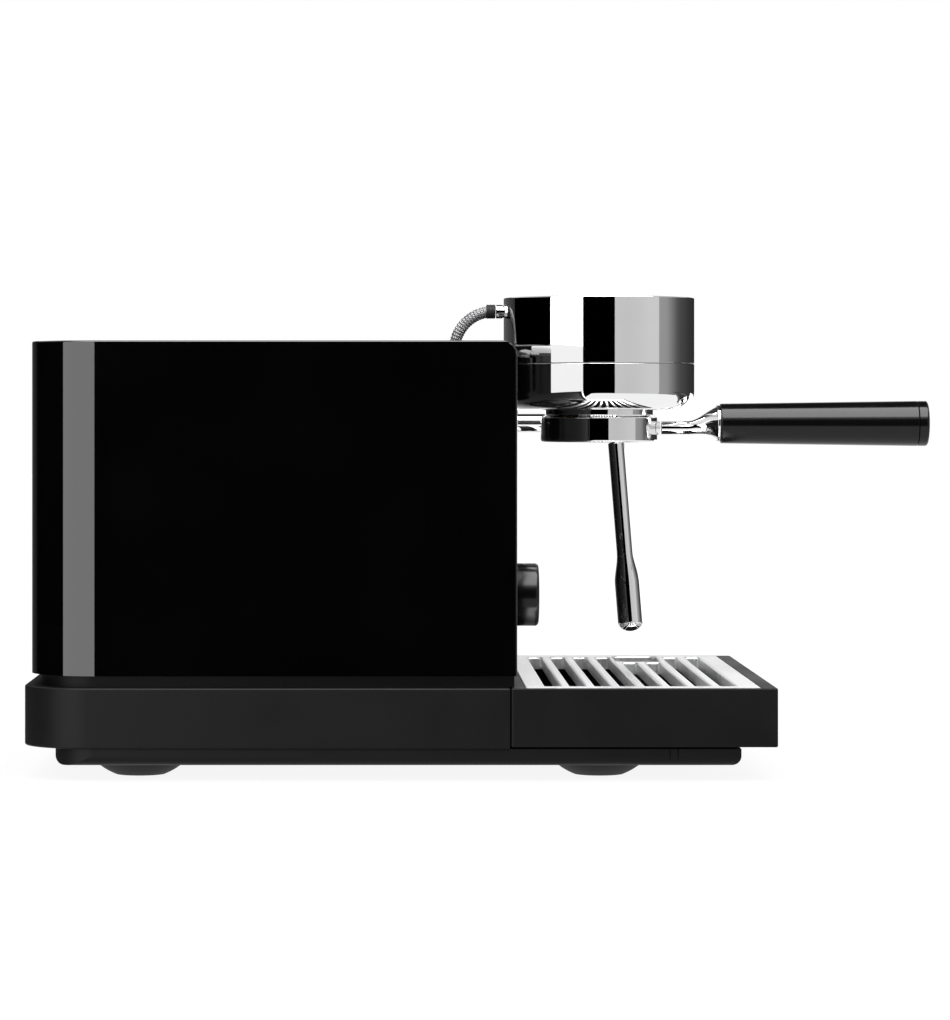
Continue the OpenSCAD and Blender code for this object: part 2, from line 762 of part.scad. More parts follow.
module water_tank() {
    w = tank_half_w;
    color([0.7, 0.75, 0.78, 0.4]) placed() difference() {
        union() {
            round_box(-w, w, tank_front_y, tank_rear_y, 66, 240, 6);
            translate([-60, 190, 63.5]) cylinder(r = 10, h = 3);
            for (x = [-80, 80]) box(x - 4, x + 4, lid_axis_y - 2.4, tank_rear_y, 238, lid_axis_z + 2.2);
        }
        difference() {
            round_box(-w + 2.2, w - 2.2, tank_front_y + 2.2, tank_rear_y - 2.2, 68.2, 245, 4);
            for (x = [-80, 80]) box(x - 4, x + 4, lid_axis_y - 2.4, tank_rear_y, 230, 250);
        }
        translate([-60, 190, 60]) cylinder(r = 6.1, h = 20);
        translate([-90, lid_axis_y, lid_axis_z]) rotate([0, 90, 0]) cylinder(r = 1.0, h = 180);
        box(-30, 30, tank_front_y - 1, tank_front_y + 3, 215, 232);
    }
}

module tank_outlet() {
    color([0.1, 0.1, 0.1]) placed() difference() {
        union() {
            translate([-60, 190, 64]) cylinder(r = 6, h = 10);
            translate([-60, 190, 68.3]) cylinder(r = 9, h = 3);
        }
        translate([-60, 190, 60]) cylinder(r = 3, h = 20);
    }
}

module tank_lid() {
    w = 112.8;
    barrel = 108;
    color([0.02, 0.02, 0.02]) placed() difference() {
        union() {
            round_box(-w, w, 158.4, 249.5, body_top - 2.4, body_top, 5);
            box(-barrel, barrel, 245, lid_axis_y, body_top - 2.4, body_top);
            translate([-barrel, lid_axis_y, lid_axis_z]) rotate([0, 90, 0]) cylinder(r = 2.5, h = 2 * barrel);
        }
        for (x = [-80, 80]) box(x - 4.5, x + 4.5, lid_axis_y - 3.2, lid_axis_y + 3, 240, 250);
        translate([-90, lid_axis_y, lid_axis_z]) rotate([0, 90, 0]) cylinder(r = 1.05, h = 180);
        round_box(-22, 22, 155, 166, body_top - 1.2, body_top + 1, 4);
    }
}

module lid_hinge_pin() {
    color([0.6, 0.6, 0.62]) placed()
        translate([-83.5, lid_axis_y, lid_axis_z]) rotate([0, 90, 0]) cylinder(r = 1, h = 167);
}

base_frame();
base_plate();
tray_shelf();
rubber_feet();
foot_screws();
base_screws();
plinth();
body_shell();
front_panel();
inner_frame();
mains_inlet();
group_neck();
group_body();
bayonet_ring();
group_gasket();
shower_screen();
screen_screw();
head_lower_shell();
head_upper_shell();
head_top_cap();
inlet_pipe();
hose_grommet();
head_hose();
hose_ferrule();
hose_fitting();
pump();
pump_mounts();
thermoblock();
solenoid_valve();
control_board();
power_supply();
water_hose();
tank_dock();
dial_encoder();
button_board();
steam_valve();
steam_joint_nut();
status_lens();
dial();
dial_shaft();
button_power();
button_brew();
button_steam();
wand_tube();
wand_sleeve();
wand_tip();
portafilter_bowl();
filter_basket();
basket_spring();
handle_stem();
handle_collar();
grip();
grip_end_cap();
drip_tray();
drip_grid();
float_indicator();
water_tank();
tank_outlet();
tank_lid();
lid_hinge_pin();
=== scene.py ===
"""Looks for the espresso machine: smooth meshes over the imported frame, materials, studio and camera.

Metres throughout. The front faces -Y, the camera looks along +X at the machine's left side.
"""

import json
import math

import bmesh
import bpy
from mathutils import Matrix, Vector


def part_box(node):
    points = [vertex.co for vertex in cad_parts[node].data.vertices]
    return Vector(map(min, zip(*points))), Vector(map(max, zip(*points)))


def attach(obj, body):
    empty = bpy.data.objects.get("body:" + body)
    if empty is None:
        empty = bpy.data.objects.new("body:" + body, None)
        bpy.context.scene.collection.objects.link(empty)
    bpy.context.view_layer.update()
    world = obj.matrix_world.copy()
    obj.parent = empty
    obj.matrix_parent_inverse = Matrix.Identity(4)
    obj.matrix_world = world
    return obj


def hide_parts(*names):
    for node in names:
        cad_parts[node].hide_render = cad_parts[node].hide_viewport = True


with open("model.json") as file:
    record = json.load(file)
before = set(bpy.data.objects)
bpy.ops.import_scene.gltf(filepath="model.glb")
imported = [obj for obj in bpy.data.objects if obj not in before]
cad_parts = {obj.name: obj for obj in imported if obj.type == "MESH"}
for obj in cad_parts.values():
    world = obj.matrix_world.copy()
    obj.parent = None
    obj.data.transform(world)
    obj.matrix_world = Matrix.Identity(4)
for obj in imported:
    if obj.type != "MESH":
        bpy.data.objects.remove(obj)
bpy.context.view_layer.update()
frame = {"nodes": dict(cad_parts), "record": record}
NODES = frame["nodes"]
MM = 0.001
UP = Vector((0, 0, 1))
FRONT = Vector((0, -1, 0))


# ------------------------------------------------------------------ mesh helpers

def link(name, mesh, body, slot, sharp_deg=35):
    """Puts a finished mesh in the scene, shaded smooth but for edges sharper than sharp_deg."""
    bm = bmesh.new()
    bm.from_mesh(mesh)
    bmesh.ops.recalc_face_normals(bm, faces=bm.faces)
    bm.to_mesh(mesh)
    bm.free()
    mesh.polygons.foreach_set("use_smooth", [True] * len(mesh.polygons))
    mesh.set_sharp_from_angle(angle=math.radians(sharp_deg))
    obj = bpy.data.objects.new(name, mesh)
    bpy.context.scene.collection.objects.link(obj)
    if body:
        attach(obj, body)
        obj.data.materials.clear()
        obj.data.materials.append(SLOT_MATERIAL[slot])
    return obj


def mesh_from(name, verts, faces):
    """A mesh from its points and faces."""
    mesh = bpy.data.meshes.new(name)
    mesh.from_pydata([tuple(v) for v in verts], [], faces)
    mesh.update()
    return mesh


def arc(cx, cy, r, start_deg, end_deg, steps):
    """Points on an arc, both ends included."""
    span = end_deg - start_deg
    turns = [math.radians(start_deg + span * i / steps) for i in range(steps + 1)]
    return [(cx + r * math.cos(t), cy + r * math.sin(t)) for t in turns]


def filleted(points, steps=6):
    """A path of (x, y) or (x, y, radius) points with the corners that give a radius rounded."""
    out = []
    n = len(points)
    for i, p in enumerate(points):
        r = p[2] if len(p) > 2 else 0
        here = Vector(p[:2])
        if not r:
            out.append(tuple(here))
            continue
        back = (Vector(points[i - 1][:2]) - here)
        ahead = (Vector(points[(i + 1) % n][:2]) - here)
        half = back.angle(ahead) / 2
        reach = min(r / math.tan(half), 0.499 * min(back.length, ahead.length))
        r = reach * math.tan(half)
        centre = here + (back.normalized() + ahead.normalized()).normalized() * (r / math.sin(half))
        a = here + back.normalized() * reach - centre
        b = here + ahead.normalized() * reach - centre
        turn = a.angle_signed(b)
        for k in range(steps + 1):
            t = -turn * k / steps
            c, s = math.cos(t), math.sin(t)
            out.append((centre.x + a.x * c - a.y * s, centre.y + a.x * s + a.y * c))
    return out


def basis(origin, axis):
    """A matrix that carries local +Z to axis and local zero to origin."""
    z = Vector(axis).normalized()
    x = UP.cross(z) if abs(z.z) < 0.99 else Vector((1, 0, 0))
    x.normalize()
    y = z.cross(x)
    m = Matrix((x, y, z)).transposed().to_4x4()
    m.translation = Vector(origin)
    return m


def lathe_mesh(name, profile, origin, axis=UP, segments=192, closed=False):
    """Turns (radius, height) points about axis. A radius of zero closes an end."""
    m = basis(origin, axis)
    verts, rings = [], []
    for r, h in profile:
        if r < 1e-7:
            rings.append([len(verts)])
            verts.append(m @ Vector((0, 0, h)))
            continue
        rings.append(list(range(len(verts), len(verts) + segments)))
        for k in range(segments):
            t = 2 * math.pi * k / segments
            verts.append(m @ Vector((r * math.cos(t), r * math.sin(t), h)))
    faces = []
    pairs = list(zip(rings, rings[1:])) + ([(rings[-1], rings[0])] if closed else [])
    for a, b in pairs:
        for k in range(segments):
            j = (k + 1) % segments
            if len(a) == 1 and len(b) > 1:
                faces.append((a[0], b[k], b[j]))
            elif len(b) == 1 and len(a) > 1:
                faces.append((a[k], b[0], a[j]))
            elif len(a) > 1:
                faces.append((a[k], b[k], b[j], a[j]))
    return mesh_from(name, verts, faces)


def supported(profile, closed):
    """Adds a point close to each end of every long straight stretch, so that it shades flat."""
    out = []
    count = len(profile)
    for i, here in enumerate(profile):
        out.append(here)
        if i == count - 1 and not closed:
            break
        after = profile[(i + 1) % count]
        run = math.dist(here, after)
        if run > 1.3 * MM:
            for share in (0.08 * MM / run, 1 - 0.08 * MM / run):
                out.append((here[0] + (after[0] - here[0]) * share, here[1] + (after[1] - here[1]) * share))
    return out


def lathe(name, profile, origin, body, slot, axis=UP, segments=192, closed=False):
    """A turned piece in its body and material slot."""
    mesh = lathe_mesh(name, supported(profile, closed), origin, axis, segments, closed)
    return link(name, mesh, body, slot)


def loft_mesh(name, rings, cap=True):
    """Joins closed rings with the same number of points, and caps both ends."""
    n = len(rings[0])
    verts = [v for ring in rings for v in ring]
    faces = []
    for i in range(len(rings) - 1):
        for k in range(n):
            j = (k + 1) % n
            faces.append((i * n + k, i * n + j, (i + 1) * n + j, (i + 1) * n + k))
    if cap:
        faces.append(tuple(range(n))[::-1])
        faces.append(tuple(range((len(rings) - 1) * n, len(rings) * n)))
    return mesh_from(name, verts, faces)


def sweep_mesh(name, path, radii, segments=48):
    """A tube along path, whose radius is given at each point, with both ends capped."""
    path = [Vector(p) for p in path]
    rings = []
    tangent = (path[1] - path[0]).normalized()
    side = tangent.orthogonal().normalized()
    for i, p in enumerate(path):
        ahead = path[min(i + 1, len(path) - 1)] - path[max(i - 1, 0)]
        new = ahead.normalized()
        side = (side - new * side.dot(new)).normalized()
        up = new.cross(side)
        ring = []
        for k in range(segments):
            t = 2 * math.pi * k / segments
            ring.append(p + (side * math.cos(t) + up * math.sin(t)) * radii[i])
        rings.append(ring)
    return loft_mesh(name, rings)


def plan(x0, x1, y0, y1, r_front, r_rear, steps_front=4, steps_rear=28):
    """A rectangle seen from above, anticlockwise, with its front and rear corners rounded."""
    pts = arc(x1 - r_front, y0 + r_front, r_front, -90, 0, steps_front)
    pts += arc(x1 - r_rear, y1 - r_rear, r_rear, 0, 90, steps_rear)
    pts += arc(x0 + r_rear, y1 - r_rear, r_rear, 90, 180, steps_rear)
    pts += arc(x0 + r_front, y0 + r_front, r_front, 180, 270, steps_front)
    return pts


def rounded_block(name, lo, hi, r_front, r_rear, r_top, r_bottom, steps=5):
    """A block whose plan has rounded corners and whose top and bottom edges are rounded too."""
    bottom = [(lo.z + r_bottom * (1 - math.cos(math.radians(90 * k / steps))),
               r_bottom * (1 - math.sin(math.radians(90 * k / steps)))) for k in range(steps + 1)]
    top = [(hi.z - r_top * (1 - math.cos(math.radians(90 * k / steps))),
            r_top * (1 - math.sin(math.radians(90 * k / steps)))) for k in range(steps + 1)][::-1]
    rings = []
    for z, d in bottom + top:
        outline = plan(lo.x + d, hi.x - d, lo.y + d, hi.y - d,
                       max(r_front - d, 1e-5), max(r_rear - d, 1e-5))
        rings.append([Vector((x, y, z)) for x, y in outline])
    return loft_mesh(name, rings)


def prism_mesh(name, outline, origin, axis, height):
    """An outline of (x, y) points drawn out along axis."""
    m = basis(origin, axis)
    rings = [[m @ Vector((x, y, h)) for x, y in outline] for h in (0, height)]
    return loft_mesh(name, rings)


def box_mesh(name, lo, hi):
    """A plain box between two corners, used as a cutter."""
    outline = [(lo[0], lo[1]), (hi[0], lo[1]), (hi[0], hi[1]), (lo[0], hi[1])]
    rings = [[Vector((x, y, z)) for x, y in outline] for z in (lo[2], hi[2])]
    return loft_mesh(name, rings)


def evaluated(obj):
    """The object's mesh with its modifiers applied."""
    graph = bpy.context.evaluated_depsgraph_get()
    return bpy.data.meshes.new_from_object(obj.evaluated_get(graph))


def cut(mesh, cutters):
    """mesh with each cutter mesh taken out of it."""
    work = bpy.data.objects.new("work", mesh)
    bpy.context.scene.collection.objects.link(work)
    tools = []
    for c in cutters:
        bm = bmesh.new()
        bm.from_mesh(c)
        bmesh.ops.recalc_face_normals(bm, faces=bm.faces)
        bm.to_mesh(c)
        bm.free()
        tool = bpy.data.objects.new("tool", c)
        bpy.context.scene.collection.objects.link(tool)
        mod = work.modifiers.new("cut", "BOOLEAN")
        mod.operation = "DIFFERENCE"
        mod.solver = "EXACT"
        mod.object = tool
        tools.append(tool)
    bpy.context.view_layer.update()
    result = evaluated(work)
    for o in [work, *tools]:
        bpy.data.objects.remove(o)
    return result


def recalculated(mesh):
    """The mesh with its faces turned outwards."""
    bm = bmesh.new()
    bm.from_mesh(mesh)
    bmesh.ops.recalc_face_normals(bm, faces=bm.faces)
    bm.to_mesh(mesh)
    bm.free()
    return mesh


def weighted(obj):
    """Keeps large flat faces flat where they meet rounded edges."""
    mod = obj.modifiers.new("weighted_normal", "WEIGHTED_NORMAL")
    mod.keep_sharp = True
    mod.weight = 80
    return obj


# ------------------------------------------------------------------ materials

def shader(name, base, metallic=0.0, roughness=0.5, coat=0.0, alpha=1.0, transmission=0.0):
    """A principled material, with its tree, its shader and the object coordinates."""
    mat = bpy.data.materials.new(name)
    mat.use_nodes = True
    tree = mat.node_tree
    bsdf = next(n for n in tree.nodes if n.type == "BSDF_PRINCIPLED")
    bsdf.inputs["Base Color"].default_value = (*base, 1)
    bsdf.inputs["Metallic"].default_value = metallic
    bsdf.inputs["Roughness"].default_value = roughness
    bsdf.inputs["Coat Weight"].default_value = coat
    bsdf.inputs["Coat Roughness"].default_value = 0.03
    bsdf.inputs["Alpha"].default_value = alpha
    bsdf.inputs["Transmission Weight"].default_value = transmission
    coords = tree.nodes.new("ShaderNodeTexCoord")
    return mat, tree, bsdf, coords.outputs["Object"]


def noise(tree, vector, scale, detail=3.0, stretch=None):
    """A noise texture's grey output, drawn out along an axis where stretch is given."""
    if stretch:
        mapping = tree.nodes.new("ShaderNodeMapping")
        mapping.inputs["Scale"].default_value = stretch
        tree.links.new(vector, mapping.inputs["Vector"])
        vector = mapping.outputs["Vector"]
    node = tree.nodes.new("ShaderNodeTexNoise")
    node.inputs["Scale"].default_value = scale
    node.inputs["Detail"].default_value = detail
    tree.links.new(vector, node.inputs["Vector"])
    return node.outputs["Fac"]


def spread(tree, value, low, high):
    """Maps a 0.3 to 0.7 noise value onto low to high."""
    node = tree.nodes.new("ShaderNodeMapRange")
    node.inputs["From Min"].default_value = 0.3
    node.inputs["From Max"].default_value = 0.7
    node.inputs["To Min"].default_value = low
    node.inputs["To Max"].default_value = high
    tree.links.new(value, node.inputs["Value"])
    return node.outputs["Result"]


def tint(tree, value, dark, light):
    """Blends two colours by a noise value."""
    ramp = tree.nodes.new("ShaderNodeValToRGB")
    ramp.color_ramp.elements[0].position = 0.35
    ramp.color_ramp.elements[0].color = (*dark, 1)
    ramp.color_ramp.elements[1].position = 0.65
    ramp.color_ramp.elements[1].color = (*light, 1)
    tree.links.new(value, ramp.inputs["Fac"])
    return ramp.outputs["Color"]


def bump(tree, bsdf, value, distance, strength=1.0):
    """Relief from a texture value, depth metres deep."""
    node = tree.nodes.new("ShaderNodeBump")
    node.inputs["Strength"].default_value = strength
    node.inputs["Distance"].default_value = distance
    tree.links.new(value, node.inputs["Height"])
    tree.links.new(node.outputs["Normal"], bsdf.inputs["Normal"])


def scaled(colour, by):
    """A colour made lighter or darker."""
    return tuple(min(1.0, c * by) for c in colour)


def gloss_enamel(name, base, roughness=0.035, coat=0.35, specular=0.5):
    """Deep gloss enamel: a trace of flow in the surface and a little dust haze in its gloss."""
    mat, tree, bsdf, at = shader(name, base, roughness=roughness, coat=coat)
    bsdf.inputs["Specular IOR Level"].default_value = specular
    haze = noise(tree, at, 14, 2)
    tree.links.new(spread(tree, haze, roughness * 0.8, roughness * 1.5), bsdf.inputs["Roughness"])
    tree.links.new(tint(tree, haze, scaled(base, 0.8), scaled(base, 1.2)), bsdf.inputs["Base Color"])
    bump(tree, bsdf, noise(tree, at, 60, 1), 2e-6)
    return mat


def moulded(name, base, roughness=0.5, grain=2600, depth=1.2e-5, coat=0.0, specular=0.25):
    """Moulded plastic or rubber: fine spark-eroded grain with patches of slightly higher gloss."""
    mat, tree, bsdf, at = shader(name, base, roughness=roughness, coat=coat)
    bsdf.inputs["Specular IOR Level"].default_value = specular
    patch = noise(tree, at, 22, 3)
    tree.links.new(spread(tree, patch, roughness * 0.92, roughness * 1.08), bsdf.inputs["Roughness"])
    tree.links.new(tint(tree, patch, scaled(base, 0.88), scaled(base, 1.12)), bsdf.inputs["Base Color"])
    bump(tree, bsdf, noise(tree, at, grain, 2), depth, 0.5)
    return mat


def polished(name, base, roughness=0.03):
    """Polished chrome: mirror gloss, with faint wiping haze."""
    mat, tree, bsdf, at = shader(name, base, metallic=1.0, roughness=roughness)
    haze = noise(tree, at, 30, 4)
    tree.links.new(spread(tree, haze, roughness * 0.6, roughness * 1.5), bsdf.inputs["Roughness"])
    tree.links.new(tint(tree, haze, scaled(base, 0.985), scaled(base, 1.015)), bsdf.inputs["Base Color"])
    return mat


def brushed(name, base, roughness=0.22, stretch=(1, 40, 1), depth=4e-6):
    """Brushed sheet: fine lines along one axis in roughness, colour and bump."""
    mat, tree, bsdf, at = shader(name, base, metallic=1.0, roughness=roughness)
    lines = noise(tree, at, 90, 4, stretch)
    tree.links.new(spread(tree, lines, roughness * 0.75, roughness * 1.3), bsdf.inputs["Roughness"])
    tree.links.new(tint(tree, lines, scaled(base, 0.93), scaled(base, 1.05)), bsdf.inputs["Base Color"])
    bump(tree, bsdf, lines, depth, 0.4)
    return mat


def clear_plastic(name, base):
    """Smoked clear tank wall with faint flow lines."""
    mat, tree, bsdf, at = shader(name, base, roughness=0.06, alpha=1.0, transmission=0.9)
    bsdf.inputs["IOR"].default_value = 1.46
    flow = noise(tree, at, 18, 3, (1, 1, 6))
    tree.links.new(spread(tree, flow, 0.03, 0.12), bsdf.inputs["Roughness"])
    tree.links.new(tint(tree, flow, scaled(base, 0.94), scaled(base, 1.04)), bsdf.inputs["Base Color"])
    bump(tree, bsdf, flow, 1e-5, 0.3)
    return mat


def circuit_board(name, base):
    """Green board with a fine pattern of lighter tracks."""
    mat, tree, bsdf, at = shader(name, base, roughness=0.4, coat=0.3)
    tracks = tree.nodes.new("ShaderNodeTexBrick")
    tracks.inputs["Scale"].default_value = 160
    tracks.inputs["Color1"].default_value = (*base, 1)
    tracks.inputs["Color2"].default_value = (*scaled(base, 1.3), 1)
    tracks.inputs["Mortar"].default_value = (*scaled(base, 2.2), 1)
    tree.links.new(at, tracks.inputs["Vector"])
    tree.links.new(tracks.outputs["Color"], bsdf.inputs["Base Color"])
    return mat


def slot_materials():
    """One material for each slot of the record."""
    bright = (0.88, 0.88, 0.885)
    return {
        "base_plastic": moulded("base_plastic", (0.0024, 0.0024, 0.0025), 0.5, specular=0.14),
        "gloss_black": gloss_enamel("gloss_black", (0.0012, 0.0012, 0.0013)),
        "panel_black": gloss_enamel("panel_black", (0.002, 0.002, 0.0021), 0.12, 0.0, 0.2),
        "frame_steel": brushed("frame_steel", (0.5, 0.5, 0.51), 0.35),
        "foot_rubber": moulded("foot_rubber", (0.006, 0.006, 0.006), 0.7, 1500, 2e-5),
        "fastener_steel": brushed("fastener_steel", (0.6, 0.6, 0.61), 0.3, (20, 20, 1)),
        "inlet_plastic": moulded("inlet_plastic", (0.014, 0.014, 0.014), 0.45),
        "cast_neck": moulded("cast_neck", (0.05, 0.05, 0.052), 0.4, 900, 3e-5),
        "brass": brushed("brass", (0.72, 0.5, 0.2), 0.25),
        "chrome": polished("chrome", bright, 0.025),
        "bright_steel": brushed("bright_steel", (0.72, 0.72, 0.73), 0.12, (1, 1, 30)),
        "gasket_rubber": moulded("gasket_rubber", (0.008, 0.008, 0.008), 0.6, 1500, 1.5e-5),
        "copper_pipe": brushed("copper_pipe", (0.75, 0.4, 0.24), 0.2, (1, 30, 1)),
        "braid_steel": brushed("braid_steel", (0.19, 0.19, 0.195), 0.32, (8, 8, 8), 2e-6),
        "works_plastic": moulded("works_plastic", (0.03, 0.03, 0.034), 0.5),
        "works_alloy": brushed("works_alloy", (0.6, 0.6, 0.61), 0.4, (4, 4, 4)),
        "board": circuit_board("board", (0.015, 0.12, 0.05)),
        "silicone": moulded("silicone", (0.5, 0.5, 0.48), 0.4, 700, 1e-5),
        "lens": moulded("lens", (0.7, 0.7, 0.66), 0.2, 900, 2e-6, 0.4),
        "dial_plastic": moulded("dial_plastic", (0.003, 0.003, 0.0031), 0.2, 3000, 3e-6, specular=0.3),
        "grip_plastic": moulded("grip_plastic", (0.003, 0.003, 0.0031), 0.16, 3200, 2e-6, specular=0.3),
        "bowl_chrome": polished("bowl_chrome", scaled(bright, 0.96), 0.035),
        "grid_steel": brushed("grid_steel", (0.86, 0.86, 0.865), 0.36, (1, 40, 1), 3e-6),
        "float_red": moulded("float_red", (0.012, 0.012, 0.012), 0.3, 1800, 5e-6, 0.2),
        "tank_clear": clear_plastic("tank_clear", (0.72, 0.78, 0.8)),
    }


SLOT_MATERIAL = slot_materials()


def dress_nodes():
    """Gives every CAD node its slot's material."""
    for row in frame["record"]["subparts"]:
        mesh = NODES[row["node"]].data
        mesh.materials.clear()
        mesh.materials.append(SLOT_MATERIAL[row["material_slot"]])


# ------------------------------------------------------------------ body and base

def shell_rings(lo, hi, bend, r_rear, edge, floor):
    """Level outlines of the folded body: the front bends back towards the top, sides have a small edge."""
    heights = [floor, hi.z - bend]
    heights += [hi.z - bend + bend * math.sin(math.radians(5 * k)) for k in range(1, 18)]
    heights += [hi.z - edge * (1 - math.sin(math.radians(15 * k))) for k in range(0, 6)]
    heights.append(hi.z)
    rings = []
    for z in sorted(set(round(h, 9) for h in heights)):
        rise = min(max((z - hi.z + bend) / bend, 0), 1)
        front = lo.y + bend * (1 - math.sqrt(1 - rise * rise))
        lift = min(max((z - hi.z + edge) / edge, 0), 1)
        inset = edge * (1 - math.sqrt(1 - lift * lift))
        outline = plan(lo.x + inset, hi.x - inset, front, hi.y - inset, edge, r_rear - inset, 4, 36)
        rings.append([Vector((x, y, z)) for x, y in outline])
    return rings


def body_shell():
    """Folded sheet body: open at the front and underneath, cut out for the lid and round the head."""
    lo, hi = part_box("body_shell")
    tank_lo, tank_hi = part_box("tank_lid")
    head_lo, head_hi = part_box("head_upper_shell")
    sheet = 1.5 * MM
    bend, r_rear, edge = 8.5 * MM, 39 * MM, 0.9 * MM
    inset = Vector((sheet, sheet, sheet))
    outer = loft_mesh("shell_outer", shell_rings(lo, hi, bend, r_rear, edge, lo.z))
    inner = loft_mesh("shell_inner", shell_rings(lo + inset, hi - inset, bend - sheet, r_rear - sheet,
                                                 0.4 * MM, lo.z - sheet))
    lip = 4 * MM
    window = plan(lo.x + lip, hi.x - lip, lo.z + 2.5 * MM, hi.z - 11 * MM, 2 * MM, 2 * MM, 6, 6)
    front_cut = [[Vector((x, y, z)) for x, z in window] for y in (lo.y - lip, lo.y + 2 * sheet)]
    gap = 0.7 * MM
    mouth = [[Vector((x, y, z)) for x, y in plan(tank_lo.x - gap, tank_hi.x + gap, tank_lo.y - gap,
                                                 tank_hi.y + gap, 6 * MM, 6 * MM, 8, 8)]
             for z in (hi.z - 4 * MM, hi.z + 4 * MM)]
    head_x, head_y = (head_lo.x + head_hi.x) / 2, (head_lo.y + head_hi.y) / 2
    head_r = (head_hi.x - head_lo.x) / 2 + 0.4 * MM
    notch = lathe_mesh("notch", [(0, -0.05), (head_r, -0.05), (head_r, 0.03), (0, 0.03)],
                       (head_x, head_y, hi.z))
    mesh = cut(recalculated(outer), [inner, loft_mesh("window", front_cut), loft_mesh("mouth", mouth), notch])
    obj = weighted(link("enamel_body", mesh, "machine", "gloss_black", 30))
    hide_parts("body_shell")


def base_band():
    """Base with round rear corners and a pocket for the mains inlet."""
    lo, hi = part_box("base_frame")
    in_lo, in_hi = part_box("mains_inlet")
    block = rounded_block("band", lo, hi, 0.6 * MM, 38 * MM, 1.1 * MM, 1.1 * MM)
    gap = 0.1 * MM
    pocket = box_mesh("pocket", (in_lo.x - gap, in_lo.y - gap, in_lo.z - gap),
                      (in_hi.x + gap, hi.y + 0.01, in_hi.z + gap))
    mesh = cut(recalculated(block), [pocket])
    obj = weighted(link("base_band", mesh, "machine", "base_plastic", 30))
    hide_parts("base_frame")


def tray_body():
    """The pull-out tray: a deep pan with a wide flat rim, a ledge for the grid and a groove underneath."""
    lo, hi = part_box("drip_tray")
    grid_lo, grid_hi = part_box("drip_grid")
    block = rounded_block("tray", lo, hi, 1.5 * MM, 1.5 * MM, 0.8 * MM, 0.8 * MM)
    side, front, rear, gap = 6 * MM, 11.5 * MM, 11.2 * MM, 0.4 * MM
    pan = plan(lo.x + side, hi.x - side, lo.y + front, hi.y - rear, 4 * MM, 4 * MM, 8, 8)
    ledge = plan(grid_lo.x - gap, grid_hi.x + gap, grid_lo.y - gap, grid_hi.y + gap, 1.2 * MM, 1.2 * MM, 6, 6)
    cutters = [prism_mesh("pan", pan, (0, 0, lo.z + 3.5 * MM), UP, hi.z - lo.z),
               prism_mesh("ledge", ledge, (0, 0, hi.z - 4 * MM), UP, 10 * MM),
               box_mesh("groove", (lo.x + 10 * MM, hi.y - 5.7 * MM, lo.z - 1 * MM),
                        (hi.x - 10 * MM, hi.y + 0.3 * MM, lo.z + 11 * MM))]
    obj = link("tray_pan", cut(recalculated(block), cutters), "tray", "base_plastic", 40)
    edge = obj.modifiers.new("edge", "BEVEL")
    edge.width = 0.3 * MM
    edge.segments = 2
    edge.limit_method = "ANGLE"
    edge.angle_limit = math.radians(60)
    weighted(obj)
    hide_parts("drip_tray")


def lipped(outline, top, deep, roll, sheet):
    """The rolled edge of an opening in a plate: down round a quarter turn, then a straight flange."""
    rings = []
    turns = [math.radians(90 * k / 8) for k in range(9)]
    for t in turns:
        rings.append((roll * (1 - math.sin(t)), top - roll * (1 - math.cos(t))))
    rings += [(0, deep + 0.2 * MM), (0.2 * MM, deep), (sheet - 0.2 * MM, deep), (sheet, deep + 0.2 * MM)]
    rings.append((sheet, top - roll - 0.2 * MM))
    loops = [[Vector((x, y, z)) for x, y in outline(out)] for out, z in rings]
    return loft_mesh("lip", loops, cap=False)


def grid_plate():
    """Slotted plate with a rolled edge and a flange round every slot and round the finger notch."""
    lo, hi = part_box("drip_grid")
    sheet, roll = 1.0 * MM, 1.2 * MM
    skirt = hi.z - 3.8 * MM
    slots = []
    for i in range(8):
        rear = hi.y - 11.3 * MM - 14.2 * MM * i
        far = 84 * MM if i in (4, 5) else 136 * MM
        slots.append((-136 * MM, far, rear - 9 * MM, rear, 2 * MM))
    middle = hi.y - 79 * MM
    slots.append((92 * MM, 147.4 * MM, middle - 14 * MM, middle + 14 * MM, 6 * MM))

    def outline_of(slot):
        x0, x1, y0, y1, r = slot
        return lambda out: plan(x0 - out, x1 + out, y0 - out, y1 + out, r + out, r + out, 8, 8)

    bevel = 0.6 * MM
    block = rounded_block("plate", Vector((lo.x, lo.y, skirt)), hi, 0.8 * MM, 0.8 * MM, bevel, 0.2 * MM)
    under = box_mesh("under", (lo.x + sheet, lo.y + sheet, skirt - sheet),
                     (hi.x - sheet, hi.y - sheet, hi.z - sheet))
    holes = [prism_mesh("slot", outline_of(s)(roll), (0, 0, hi.z - 6 * MM), UP, 12 * MM) for s in slots]
    plate = cut(recalculated(block), [under] + holes)
    bm = bmesh.new()
    bm.from_mesh(plate)
    for s in slots:
        bm.from_mesh(lipped(outline_of(s), hi.z, lo.z, roll, sheet))
    bmesh.ops.remove_doubles(bm, verts=bm.verts, dist=2e-6)
    mesh = bpy.data.meshes.new("grid_plate")
    bm.to_mesh(mesh)
    bm.free()
    obj = weighted(link("grid_plate", mesh, "grid", "grid_steel", 40))
    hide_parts("drip_grid")


